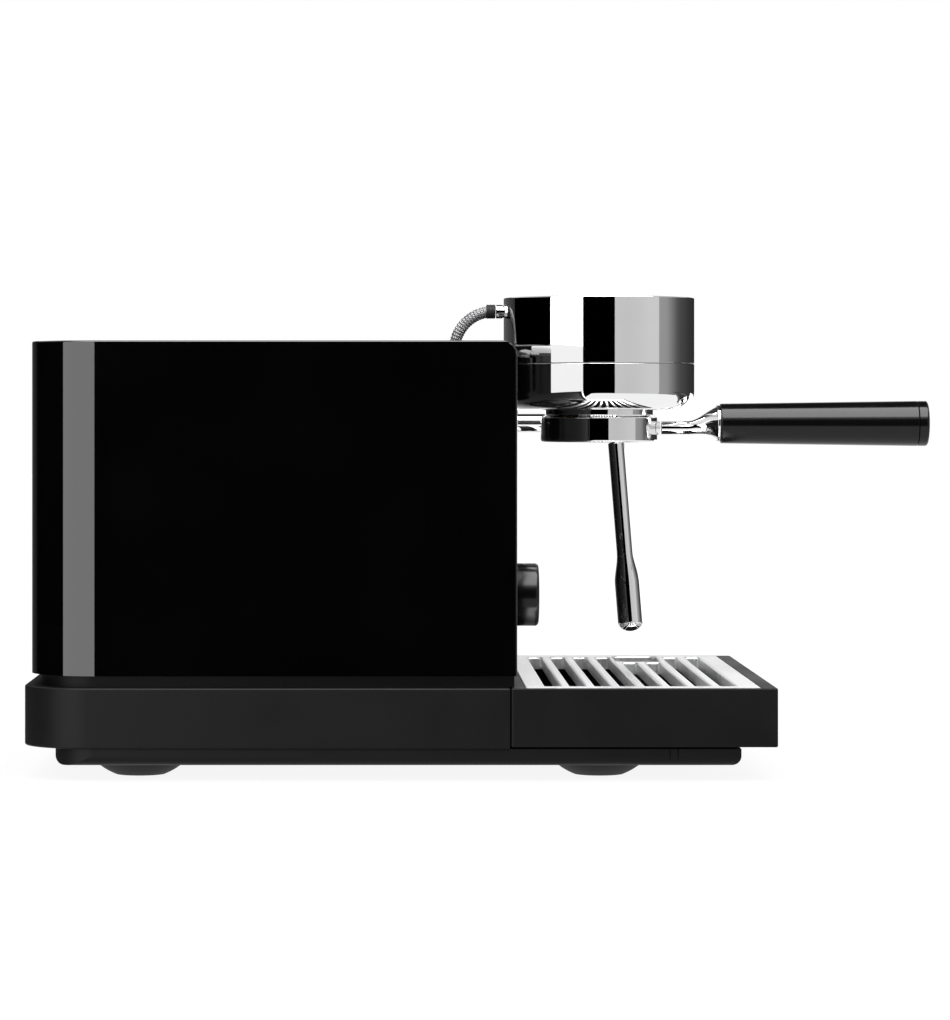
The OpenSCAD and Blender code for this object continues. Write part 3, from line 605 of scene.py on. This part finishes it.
def feet():
    """Four rubber domes with a moulded ring round the screw recess."""
    lo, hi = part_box("rubber_feet")
    top_r, flat_r, recess_r = 27 * MM, 14 * MM, 4.2 * MM
    height = hi.z - lo.z
    centre = (top_r**2 + height**2 - flat_r**2) / (2 * height)
    ball_r = math.hypot(flat_r, centre)
    start, stop = math.asin(flat_r / ball_r), math.asin(top_r / ball_r)
    dome = [(ball_r * math.sin(start + (stop - start) * k / 20),
             centre - ball_r * math.cos(start + (stop - start) * k / 20)) for k in range(21)]
    profile = [(0, 4 * MM), (recess_r, 4 * MM), (recess_r, 0.5 * MM), (recess_r + 0.5 * MM, 0)]
    profile += [(flat_r - 3 * MM, 0), (flat_r - 2.4 * MM, 0.5 * MM), (flat_r - 1.8 * MM, 0)]
    profile += dome + [(0, height)]
    spots = [(sx * (hi.x - top_r), y) for sx in (-1, 1) for y in (lo.y + top_r, hi.y - top_r)]
    for i, (x, y) in enumerate(spots):
        foot = lathe(f"foot_{i + 1}", profile, (x, y, lo.z), "machine", "foot_rubber", segments=96)
        if i == 0:
            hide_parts("rubber_feet")


# ------------------------------------------------------------------ brew head

def head_axis():
    """The brew head's centre line and outer radius."""
    lo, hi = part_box("head_upper_shell")
    return (lo.x + hi.x) / 2, (lo.y + hi.y) / 2, (hi.x - lo.x) / 2


def head_shells():
    """Two chrome shells with a fine seam, the lower one rolled under at the bottom."""
    x, y, r = head_axis()
    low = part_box("head_lower_shell")
    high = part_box("head_upper_shell")
    wall, roll, mouth = 1.5 * MM, 11 * MM, 46.3 * MM
    seam = low[1].z
    bottom = arc(r - roll, low[0].z + roll, roll, -88, 0, 40)
    inner = arc(r - roll, low[0].z + roll, roll - wall, 0, -85, 24)
    profile = [(mouth, low[0].z + 0.1 * MM)] + bottom
    profile += [(r, seam - 0.09 * MM), (r - 0.04 * MM, seam - 0.02 * MM), (r - 0.3 * MM, seam)]
    profile += [(r - wall, seam)] + inner + [(mouth, low[0].z + wall)]
    lower = lathe("head_lower", profile, (x, y, 0), "machine", "chrome", segments=288, closed=True)
    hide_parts("head_lower_shell")
    base = seam + 0.45 * MM
    top = high[1].z
    profile = [(r - wall, base), (r - 0.3 * MM, base), (r - 0.04 * MM, base + 0.02 * MM)]
    profile += [(r, base + 0.09 * MM)]
    profile += arc(r - 0.6 * MM, top - 0.6 * MM, 0.6 * MM, 0, 90, 8)
    profile += [(r - 1.1 * MM, top), (r - 1.3 * MM, top - 0.3 * MM), (r - wall, top - 2.6 * MM)]
    upper = lathe("head_upper", profile, (x, y, 0), "machine", "chrome", segments=288, closed=True)
    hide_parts("head_upper_shell")
    groove = [(r - wall + 0.1 * MM, seam - 2 * MM), (r - 0.6 * MM, seam - 2 * MM),
              (r - 0.6 * MM, base + 2 * MM), (r - wall + 0.1 * MM, base + 2 * MM)]
    lathe("head_seam", groove, (x, y, 0), "machine", "gasket_rubber", segments=144, closed=True)


def head_cap():
    """Top plate, slightly domed, set just inside the upper shell's rim."""
    x, y, _ = head_axis()
    lo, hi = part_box("head_top_cap")
    edge = (hi.x - lo.x) / 2
    profile = [(0, hi.z)]
    profile += [(edge * k / 12, hi.z - 0.25 * MM * (k / 12) ** 2) for k in range(1, 12)]
    profile += [(edge - 0.4 * MM, hi.z - 0.3 * MM), (edge, hi.z - 0.6 * MM), (edge, lo.z), (0, lo.z)]
    cap = lathe("head_cap", profile, (x, y, 0), "machine", "chrome", segments=192)
    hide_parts("head_top_cap")


def hose_path(steps=40):
    """Centre line of the hose: straight up out of the body, then a quarter turn to the head."""
    lo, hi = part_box("head_hose")
    r = (hi.x - lo.x) / 2
    start_y = hi.y - r
    end_z = hi.z - r
    bend = start_y - lo.y
    centre_y, centre_z = start_y - bend, end_z - bend
    body_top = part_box("body_shell")[1].z
    foot_z = body_top - 4 * MM
    path = [Vector((0, start_y, foot_z + (centre_z - foot_z) * k / 4)) for k in range(4)]
    for k in range(steps + 1):
        t = math.radians(90 * k / steps)
        path.append(Vector((0, centre_y + bend * math.cos(t), centre_z + bend * math.sin(t))))
    return path, r


def head_hose():
    """Woven steel hose: a dark core under two sets of crossing wires that pass over and under."""
    path, r = hose_path()
    wire = 0.36 * MM
    core = link("hose_core", sweep_mesh("hose_core", path, [r - 2.2 * wire] * len(path)), "machine",
                "gasket_rubber")
    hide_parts("head_hose")
    lengths = [0.0]
    for a, b in zip(path, path[1:]):
        lengths.append(lengths[-1] + (b - a).length)
    strands, pitch, fine = 14, 26 * MM, 110
    meshes = bmesh.new()
    for hand in (1, -1):
        for s in range(strands):
            points = []
            for i in range(fine + 1):
                along = lengths[-1] * i / fine
                k = max(j for j in range(len(path) - 1) if lengths[j] <= along + 1e-12)
                share = (along - lengths[k]) / (lengths[k + 1] - lengths[k])
                spot = path[k].lerp(path[k + 1], min(share, 1))
                tangent = (path[k + 1] - path[k]).normalized()
                side = Vector((1, 0, 0))
                up = tangent.cross(side)
                turn = hand * 2 * math.pi * along / pitch + 2 * math.pi * s / strands
                weave = wire * 0.55 * math.sin(strands * turn * 1.0 + (math.pi if hand < 0 else 0))
                radius = r - 1.6 * wire + weave
                points.append(spot + (side * math.cos(turn) + up * math.sin(turn)) * radius)
            tube = sweep_mesh("strand", points, [wire] * len(points), 6)
            meshes.from_mesh(tube)
    mesh = bpy.data.meshes.new("hose_braid")
    meshes.to_mesh(mesh)
    meshes.free()
    link("hose_braid", mesh, "machine", "braid_steel", 60)


def hose_ends():
    """Grommet where the hose leaves the body, crimped ferrule and round fitting at the head."""
    lo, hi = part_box("hose_grommet")
    x, y = 0, (lo.y + hi.y) / 2
    bore, wide = 3.65 * MM, (hi.x - lo.x) / 2
    top = hi.z
    profile = [(bore, lo.z), (wide - 0.4 * MM, lo.z), (wide, lo.z + 0.5 * MM), (wide, top - 2.6 * MM),
               (wide - 1.6 * MM, top - 2.6 * MM), (wide - 1.6 * MM, top - 0.9 * MM),
               (wide - 0.5 * MM, top - 0.9 * MM), (wide - 0.6 * MM, top - 0.4 * MM),
               (wide - 1.2 * MM, top), (bore + 0.3 * MM, top), (bore, top - 0.3 * MM)]
    grommet = lathe("hose_collar", profile, (x, y, 0), "machine", "gasket_rubber", segments=96, closed=True)
    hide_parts("hose_grommet")
    lo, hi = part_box("hose_ferrule")
    z = (lo.z + hi.z) / 2
    long, r = hi.y - lo.y, (hi.x - lo.x) / 2
    profile = [(0, 0), (r - 0.4 * MM, 0), (r, 0.3 * MM), (r, 1.2 * MM), (r - 0.25 * MM, 1.6 * MM),
               (r, 2.0 * MM), (r, 3.0 * MM), (r - 0.25 * MM, 3.4 * MM), (r, 3.8 * MM),
               (r, long - 0.6 * MM), (r - 0.5 * MM, long), (0, long)]
    ferrule = lathe("hose_crimp", profile, (0, hi.y, z), "machine", "gasket_rubber", axis=FRONT, segments=72)
    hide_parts("hose_ferrule")
    lo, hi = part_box("hose_fitting")
    z = (lo.z + hi.z) / 2
    r = (hi.x - lo.x) / 2
    long = hi.y - lo.y
    profile = [(0, 0), (r - 0.3 * MM, 0), (r, 0.3 * MM), (r, 3.7 * MM), (r - 0.4 * MM, 4 * MM),
               (r - 0.4 * MM, long), (0, long)]
    fitting = lathe("hose_union", profile, (0, hi.y, z), "machine", "chrome", axis=FRONT, segments=72)
    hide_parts("hose_fitting")


# ------------------------------------------------------------------ portafilter

def holder_bowl():
    """Bottomless filter holder: stepped wall, open mouth, groove for the spring, two ears."""
    lo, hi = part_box("portafilter_bowl")
    x, y, _ = head_axis()
    z = lo.z
    wide, narrow, inner, mouth = 34.8 * MM, 32.3 * MM, 30.3 * MM, 27 * MM
    step = z + 14.6 * MM
    top = hi.z
    outline = [
        (mouth, z, 0.5 * MM), (wide, z, 1.4 * MM), (wide, step, 0.8 * MM),
        (narrow, step + 1.6 * MM, 0.6 * MM), (narrow, top, 0.4 * MM), (inner, top, 0.3 * MM),
        (inner, z + 22.9 * MM), (inner + 0.8 * MM, z + 22.9 * MM), (inner + 0.8 * MM, z + 21.3 * MM),
        (inner, z + 21.3 * MM), (inner, z + 4 * MM, 1.2 * MM), (mouth, z + 4 * MM, 0.4 * MM),
    ]
    bowl = lathe("holder_bowl", filleted(outline, 8), (x, y, 0), "portafilter", "bowl_chrome",
                 segments=240, closed=True)
    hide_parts("portafilter_bowl")
    ear_lo, ear_hi, tip = z + 24 * MM, z + 28 * MM, 36.5 * MM
    for i, middle in enumerate((0, 180)):
        outline = arc(0, 0, tip, middle - 13, middle + 13, 12) + arc(0, 0, narrow - 0.8 * MM, middle + 13,
                                                                     middle - 13, 12)
        rings = [[Vector((x + u * k, y + v * k, h)) for u, v in outline]
                 for h, k in ((ear_lo, 0.994), (ear_lo + 0.4 * MM, 1),
                              (ear_hi - 0.4 * MM, 1), (ear_hi, 0.994))]
        link(f"holder_ear_{i + 1}", loft_mesh("ear", rings), "portafilter", "bowl_chrome", 30)
    # boss that the stem screws into
    rod_z = (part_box("grip")[0].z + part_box("grip")[1].z) / 2 - 2.6 * MM
    profile = [(0, 0), (4.7 * MM, 0), (4.6 * MM, 2.2 * MM), (4.3 * MM, 3.2 * MM),
               (4.0 * MM, 4.2 * MM), (0, 4.2 * MM)]
    lathe("holder_boss", profile, (x, y - narrow, rod_z), "portafilter", "bowl_chrome",
          axis=FRONT, segments=96)


def holder_stem():
    """Round stem that rises a little as it flares into a trumpet at the grip."""
    lo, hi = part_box("handle_stem")
    grip_lo, grip_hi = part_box("grip")
    grip_z = (grip_lo.z + grip_hi.z) / 2
    rod_r, rod_drop, flare_r = 4 * MM, 2.6 * MM, 10.1 * MM
    collar_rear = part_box("handle_collar")[1].y
    start, end = hi.y, collar_rear + 0.05 * MM
    bell = end + 17.5 * MM
    path, radii = [], []
    for k in range(9):
        path.append(Vector((0, start + (bell - start) * k / 8, grip_z - rod_drop)))
        radii.append(rod_r)
    for k in range(1, 25):
        t = k / 24
        rise = t * t * (3 - 2 * t)
        path.append(Vector((0, bell + (end - bell) * t, grip_z - rod_drop * (1 - rise))))
        radii.append(rod_r + (flare_r - rod_r) * t ** 2.1)
    path.append(Vector((0, end - 0.01 * MM, grip_z)))
    radii.append(flare_r - 0.3 * MM)
    stem = link("holder_stem", sweep_mesh("holder_stem", path, radii, 96), "portafilter", "bowl_chrome", 50)
    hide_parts("handle_stem")
    lo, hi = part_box("handle_collar")
    r, long = (hi.x - lo.x) / 2, hi.y - lo.y
    profile = filleted([(0, 0), (r, 0, 0.5 * MM), (r, long, 0.5 * MM), (0, long)], 5)
    collar = lathe("grip_collar", profile, (0, hi.y, grip_z), "portafilter", "bowl_chrome", axis=FRONT,
                   segments=96)
    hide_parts("handle_collar")


def holder_grip():
    """Tapered satin grip with a separate end cap and a fine joint between them."""
    lo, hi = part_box("grip")
    z, r = (lo.z + hi.z) / 2, (hi.x - lo.x) / 2
    long, small = hi.y - lo.y, 11.9 * MM
    profile = [(0, 0)] + filleted([(small - 3 * MM, 0), (small, 0, 0.9 * MM), (r, long - 0.3 * MM, 0.3 * MM),
                                   (r - 0.5 * MM, long)], 6) + [(0, long)]
    body = lathe("grip_body", profile, (0, hi.y, z), "portafilter", "grip_plastic", axis=FRONT, segments=128)
    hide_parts("grip")
    lo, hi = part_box("grip_end_cap")
    long = hi.y - lo.y
    profile = [(0, 0), (r - 0.5 * MM, 0), (r - 0.1 * MM, 0.3 * MM), (r, 0.8 * MM)]
    profile += arc(r - 1.5 * MM, long - 1.5 * MM, 1.5 * MM, 0, 90, 10)
    profile += [(r * 0.6, long - 0.05 * MM), (0, long - 0.15 * MM)]
    cap = lathe("grip_cap", profile, (0, hi.y, z), "portafilter", "grip_plastic", axis=FRONT, segments=128)
    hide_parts("grip_end_cap")


# ------------------------------------------------------------------ steam wand and controls

WAND_LEAN = math.radians(4.6)
ELBOW_Y = -83.7 * MM


def wand():
    """One bent chrome tube, a swelling sleeve and a rounded nozzle."""
    nut_lo, nut_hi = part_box("steam_joint_nut")
    x = (nut_lo.x + nut_hi.x) / 2
    arm_z = (nut_lo.z + nut_hi.z) / 2
    arm_r, tube_r, bend = 6 * MM, 5.1 * MM, 12 * MM
    corner = Vector((x, ELBOW_Y, arm_z))
    turn = math.pi / 2 - WAND_LEAN
    reach = bend * math.tan(turn / 2)
    down = Vector((0, -math.sin(WAND_LEAN), -math.cos(WAND_LEAN)))
    centre = Vector((x, corner.y + reach, arm_z - bend))
    path = [Vector((x, nut_hi.y - (nut_hi.y - centre.y) * k / 6, arm_z)) for k in range(6)]
    for k in range(33):
        t = turn * k / 32
        path.append(centre + Vector((0, -bend * math.sin(t), bend * math.cos(t))))
    radii = [arm_r] * len(path)
    leg = [(11.3, arm_r), (11.6, arm_r - 0.3 * MM), (12, tube_r + 0.1 * MM), (12.6, tube_r), (60, tube_r),
           (95, tube_r)]
    for d, r in leg:
        path.append(corner + down * d * MM)
        radii.append(r)
    tube = link("wand_pipe", sweep_mesh("wand_pipe", path, radii, 64), "wand", "chrome", 50)
    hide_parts("wand_tube")
    first, wide = tube_r + 0.04 * MM, 7.9 * MM
    swell = [(0, 81.2 * MM), (tube_r - 0.3 * MM, 81.2 * MM)]
    for k in range(21):
        t = k / 20
        ease = t * t * (3 - 2 * t)
        swell.append((first + (wide - first) * ease, (81.3 + 19 * t) * MM))
    swell += [(wide, 110 * MM), (wide, 119 * MM)]
    swell += [(wide * math.cos(math.radians(a)), (124 + 6.2 * math.sin(math.radians(a))) * MM)
              for a in range(0, 90, 5)]
    swell += [(0, 130.2 * MM)]
    drill = [(0, -3 * MM), (0.6 * MM, -3 * MM), (0.6 * MM, 3 * MM), (0, 3 * MM)]
    holes = []
    for k in range(4):
        side = Vector((math.cos(k * math.pi / 2), math.sin(k * math.pi / 2), 0))
        holes.append(lathe_mesh("hole", drill, corner + down * 128.6 * MM + side * 3.4 * MM,
                                (side * 0.5 + down).normalized(), segments=20))
    mesh = cut(recalculated(lathe_mesh("nozzle", supported(swell, False), corner, down, 96)), holes)
    nozzle = link("wand_nozzle", mesh, "wand", "chrome", 35)
    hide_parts("wand_sleeve", "wand_tip")


def joint_nut():
    """Round flange on the panel with a hexagon nut on it."""
    lo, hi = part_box("steam_joint_nut")
    x, z = (lo.x + hi.x) / 2, (lo.z + hi.z) / 2
    r = (hi.z - lo.z) / 2
    flange = lathe("wand_flange", filleted([(6.05 * MM, 0), (r, 0), (r, 4.5 * MM, 1.2 * MM),
                                            (6.05 * MM, 4.5 * MM)], 6),
                   (x, hi.y, z), "machine", "chrome", axis=FRONT, segments=128, closed=True)
    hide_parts("steam_joint_nut")
    nut = lathe_mesh("nut", filleted([(6.05 * MM, 4.4 * MM), (10 * MM, 4.4 * MM, 0.3 * MM),
                                      (10 * MM, 12.4 * MM, 1.2 * MM), (6.05 * MM, 12.4 * MM)], 3),
                     (x, hi.y, z), FRONT, 6, True)
    obj = link("wand_nut", nut, "machine", "chrome", 20)
    edge = obj.modifiers.new("edge", "BEVEL")
    edge.width = 0.4 * MM
    edge.segments = 3


def dial_knob():
    """Satin dial with a rounded rim, a shallow dished face and a pointer groove."""
    lo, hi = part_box("dial")
    x, z, r = (lo.x + hi.x) / 2, (lo.z + hi.z) / 2, (hi.z - lo.z) / 2
    long = hi.y - lo.y
    profile = [(0, 0), (r - 1.6 * MM, 0), (r - 0.3 * MM, 0.6 * MM), (r, 1.4 * MM)]
    profile += arc(r - 2.2 * MM, long - 2.2 * MM, 2.2 * MM, 0, 90, 10)
    profile += [(r - 4 * MM, long - 0.05 * MM), (r - 6 * MM, long - 0.35 * MM), (0, long - 0.6 * MM)]
    groove = box_mesh("groove", (x - 0.8 * MM, lo.y - 2 * MM, z + 6 * MM),
                      (x + 0.8 * MM, lo.y + 1.1 * MM, z + 15 * MM))
    mesh = cut(recalculated(lathe_mesh("dial", profile, (x, hi.y, z), FRONT, 144)), [groove])
    knob = link("dial_knob", mesh, "dial", "dial_plastic", 35)
    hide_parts("dial")


def push_buttons():
    """Three round buttons with a dished face."""
    for node, body in (("button_power", "power_button"), ("button_brew", "brew_button"),
                       ("button_steam", "steam_button")):
        lo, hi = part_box(node)
        x, z = (lo.x + hi.x) / 2, (lo.z + hi.z) / 2
        r, flange, long = 8 * MM, 9.6 * MM, hi.y - lo.y
        profile = [(0, 0), (2.5 * MM, 0), (2.5 * MM, 2.5 * MM), (flange, 2.5 * MM), (flange, 3.8 * MM),
                   (r, 3.8 * MM)]
        profile += arc(r - 0.8 * MM, long - 0.8 * MM, 0.8 * MM, 0, 90, 6)
        profile += [(r - 2 * MM, long - 0.3 * MM), (0, long - 0.7 * MM)]
        cap = lathe(f"{node}_cap", profile, (x, hi.y, z), body, "dial_plastic", axis=FRONT, segments=96)
        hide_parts(node)


# ------------------------------------------------------------------ studio

def emission(name, level, tone=(1, 1, 1)):
    mat = bpy.data.materials.new(name)
    mat.use_nodes = True
    tree = mat.node_tree
    tree.nodes.clear()
    out = tree.nodes.new("ShaderNodeOutputMaterial")
    light = tree.nodes.new("ShaderNodeEmission")
    light.inputs["Color"].default_value = (*tone, 1)
    light.inputs["Strength"].default_value = level
    tree.links.new(light.outputs["Emission"], out.inputs["Surface"])
    return mat


def graded(name, one_sided=False):
    """Emission by the card's own brightness at each point; a one-sided card lets light pass its back."""
    mat = emission(name, 1.0)
    tree = mat.node_tree
    light = next(n for n in tree.nodes if n.type == "EMISSION")
    level = tree.nodes.new("ShaderNodeAttribute")
    level.attribute_name = "brightness"
    tree.links.new(level.outputs["Fac"], light.inputs["Strength"])
    if one_sided:
        geometry = tree.nodes.new("ShaderNodeNewGeometry")
        clear = tree.nodes.new("ShaderNodeBsdfTransparent")
        mix = tree.nodes.new("ShaderNodeMixShader")
        out = next(n for n in tree.nodes if n.type == "OUTPUT_MATERIAL")
        tree.links.new(geometry.outputs["Backfacing"], mix.inputs["Fac"])
        tree.links.new(light.outputs["Emission"], mix.inputs[1])
        tree.links.new(clear.outputs["BSDF"], mix.inputs[2])
        tree.links.new(mix.outputs["Shader"], out.inputs["Surface"])
    return mat


def card(name, points, z0, z1, levels, one_sided=False):
    """An upright studio card through plan points. It is seen only in reflections."""
    if not isinstance(levels, (list, tuple)):
        levels = [levels] * len(points)
    verts = [(x, y, z) for x, y in points for z in (z0, z1)]
    faces = [(2 * i, 2 * i + 2, 2 * i + 3, 2 * i + 1) for i in range(len(points) - 1)]
    mesh = mesh_from(name, verts, faces)
    bright = mesh.attributes.new("brightness", "FLOAT", "POINT")
    for i, level in enumerate(levels):
        bright.data[2 * i].value = level
        bright.data[2 * i + 1].value = level
    return stage_card(name, mesh, graded(name, one_sided))


def stage_card(name, mesh, material):
    """A card that only reflections see."""
    obj = bpy.data.objects.new(name, mesh)
    bpy.context.scene.collection.objects.link(obj)
    obj.data.materials.append(material)
    obj.visible_camera = False
    obj.visible_diffuse = False
    obj.visible_transmission = False
    obj.visible_shadow = False
    obj.visible_volume_scatter = False
    return obj


def ring_points(a0, a1, radius, steps=12):
    """Plan points round the brew head. Angles run from the camera's side towards the front."""
    x, y, _ = head_axis()
    angles = [math.radians(a0 + (a1 - a0) * k / steps) for k in range(steps + 1)]
    return [(x - radius * math.cos(a), y - radius * math.sin(a)) for a in angles]


def reflections():
    """Cards round the set that the chrome, the enamel and the grip mirror."""
    far = 3.2
    low, high = -0.6, 1.6
    near_left, far_left = (-0.9695, 0.319), (-0.93, 1.715)
    card("softbox_left", [near_left, far_left], low, 1.0, 3.0)
    edge = ring_points(15.8, 15.81, far, 1)[0]
    card("flag_camera", [near_left, (-2.9, 0.55), (-3.3, 0.2), (-3.3, -0.5), edge], low, high, 0.0)
    card("flag_rear", [far_left] + ring_points(-80, -125, far), low, high, 0.0)
    card("flag_far_rear", ring_points(-125, -178, far, 3), low, high, [0.03, 0.06, 0.1, 0.14])
    # front side: a broad even box, then a second one that fades out round the corner
    card("softbox_right", ring_points(15.8, 73.6, far, 4), low, high, [0.62, 0.6, 0.62, 0.66, 0.66])
    fade = ((73.6, 0.34), (86, 0.31), (92, 0.24), (98, 0.17), (105, 0.1), (112, 0.07), (133, 0.04),
            (155, 0.025), (167, 0.02))
    points = [ring_points(a, a + 0.01, far, 1)[0] for a, _ in fade]
    card("softbox_fade", points, low, high, [level for _, level in fade])
    # low white box behind the tray, for the grid
    tray_lo, tray_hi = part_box("drip_tray")
    behind = tray_hi.x + 0.45
    card("softbox_grid", [(behind, tray_lo.y - 0.45), (behind, tray_hi.y + 0.1)], 0.0, 0.18, 1.3)
    # small bounce card between head and body, whose back is clear
    body_lo, body_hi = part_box("body_shell")
    head_r = head_axis()[2]
    before = body_lo.y - 3 * MM
    bounce = [(body_lo.x, before), (-head_r - 1.5 * MM, before)]
    card("bounce", bounce, body_hi.z - 33 * MM, body_hi.z, 1.0, one_sided=True)
    # strip box over the grip, on the camera's side
    grip_lo, grip_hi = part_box("grip")
    y, z = (grip_lo.y + grip_hi.y) / 2, grip_hi.z
    rise, reach = 1.6, 1.3
    for name, x0, x1, level in (("strip_box", -2.4, 0.02, 9.0), ("flag_ceiling", 0.02, 3.3, 0.05)):
        verts = [(x0, y - reach, z + rise), (x1, y - reach, z + rise), (x1, y + reach, z + rise),
                 (x0, y + reach, z + rise)]
        stage_card(name, mesh_from(name, verts, [(0, 1, 2, 3)]), emission(name, level))


def studio():
    """White surroundings, a pale paper floor, one soft overhead lamp and the reflection cards."""
    scene = bpy.context.scene
    scene.view_settings.view_transform = "Standard"
    world = bpy.data.worlds.new("studio_white")
    scene.world = world
    world.use_nodes = True
    back = world.node_tree.nodes["Background"]
    back.inputs["Color"].default_value = (1, 1, 1, 1)
    back.inputs["Strength"].default_value = 1.0

    floor_mat, tree, bsdf, at = shader("floor_paper", (0.13, 0.13, 0.13), roughness=0.8)
    bsdf.inputs["Specular IOR Level"].default_value = 0.0
    bsdf.inputs["Emission Color"].default_value = (1, 1, 1, 1)
    bsdf.inputs["Emission Strength"].default_value = 0.9
    tree.links.new(tint(tree, noise(tree, at, 3, 2), (0.125,) * 3, (0.135,) * 3), bsdf.inputs["Base Color"])
    wide = 12
    floor = bpy.data.objects.new("floor", mesh_from(
        "floor", [(-wide, -wide, 0), (wide, -wide, 0), (wide, wide, 0), (-wide, wide, 0)], [(0, 1, 2, 3)]))
    scene.collection.objects.link(floor)
    floor.data.materials.append(floor_mat)
    floor.visible_glossy = False

    top = bpy.data.lights.new("overhead", "AREA")
    top.shape = "RECTANGLE"
    top.size, top.size_y = 2.6, 2.6
    top.energy = 16
    lamp = bpy.data.objects.new("overhead", top)
    lamp.location = (-0.2, 0.0, 2.4)
    scene.collection.objects.link(lamp)
    lamp.visible_glossy = False
    reflections()


LENS_MM = 141.6
LENS_SHIFT = (0.0931, -0.0912)
CAMERA_AT = (-2.401, 0.0627, 0.204)


def camera():
    """Long lens square on to the machine's side, shifted as the photograph's framing is."""
    cam = bpy.data.cameras.new("camera")
    cam.sensor_width = 36
    cam.lens = LENS_MM
    cam.shift_x, cam.shift_y = LENS_SHIFT
    cam.clip_end = 60
    obj = bpy.data.objects.new("camera", cam)
    obj.location = CAMERA_AT
    obj.rotation_euler = (math.pi / 2, 0, -math.pi / 2)
    bpy.context.scene.collection.objects.link(obj)
    bpy.context.scene.camera = obj


def main():
    """Builds everything in a fixed order."""
    camera()
    dress_nodes()
    body_shell()
    base_band()
    tray_body()
    grid_plate()
    feet()
    head_shells()
    head_cap()
    head_hose()
    hose_ends()
    holder_bowl()
    holder_stem()
    holder_grip()
    wand()
    joint_nut()
    dial_knob()
    push_buttons()
    studio()


main()
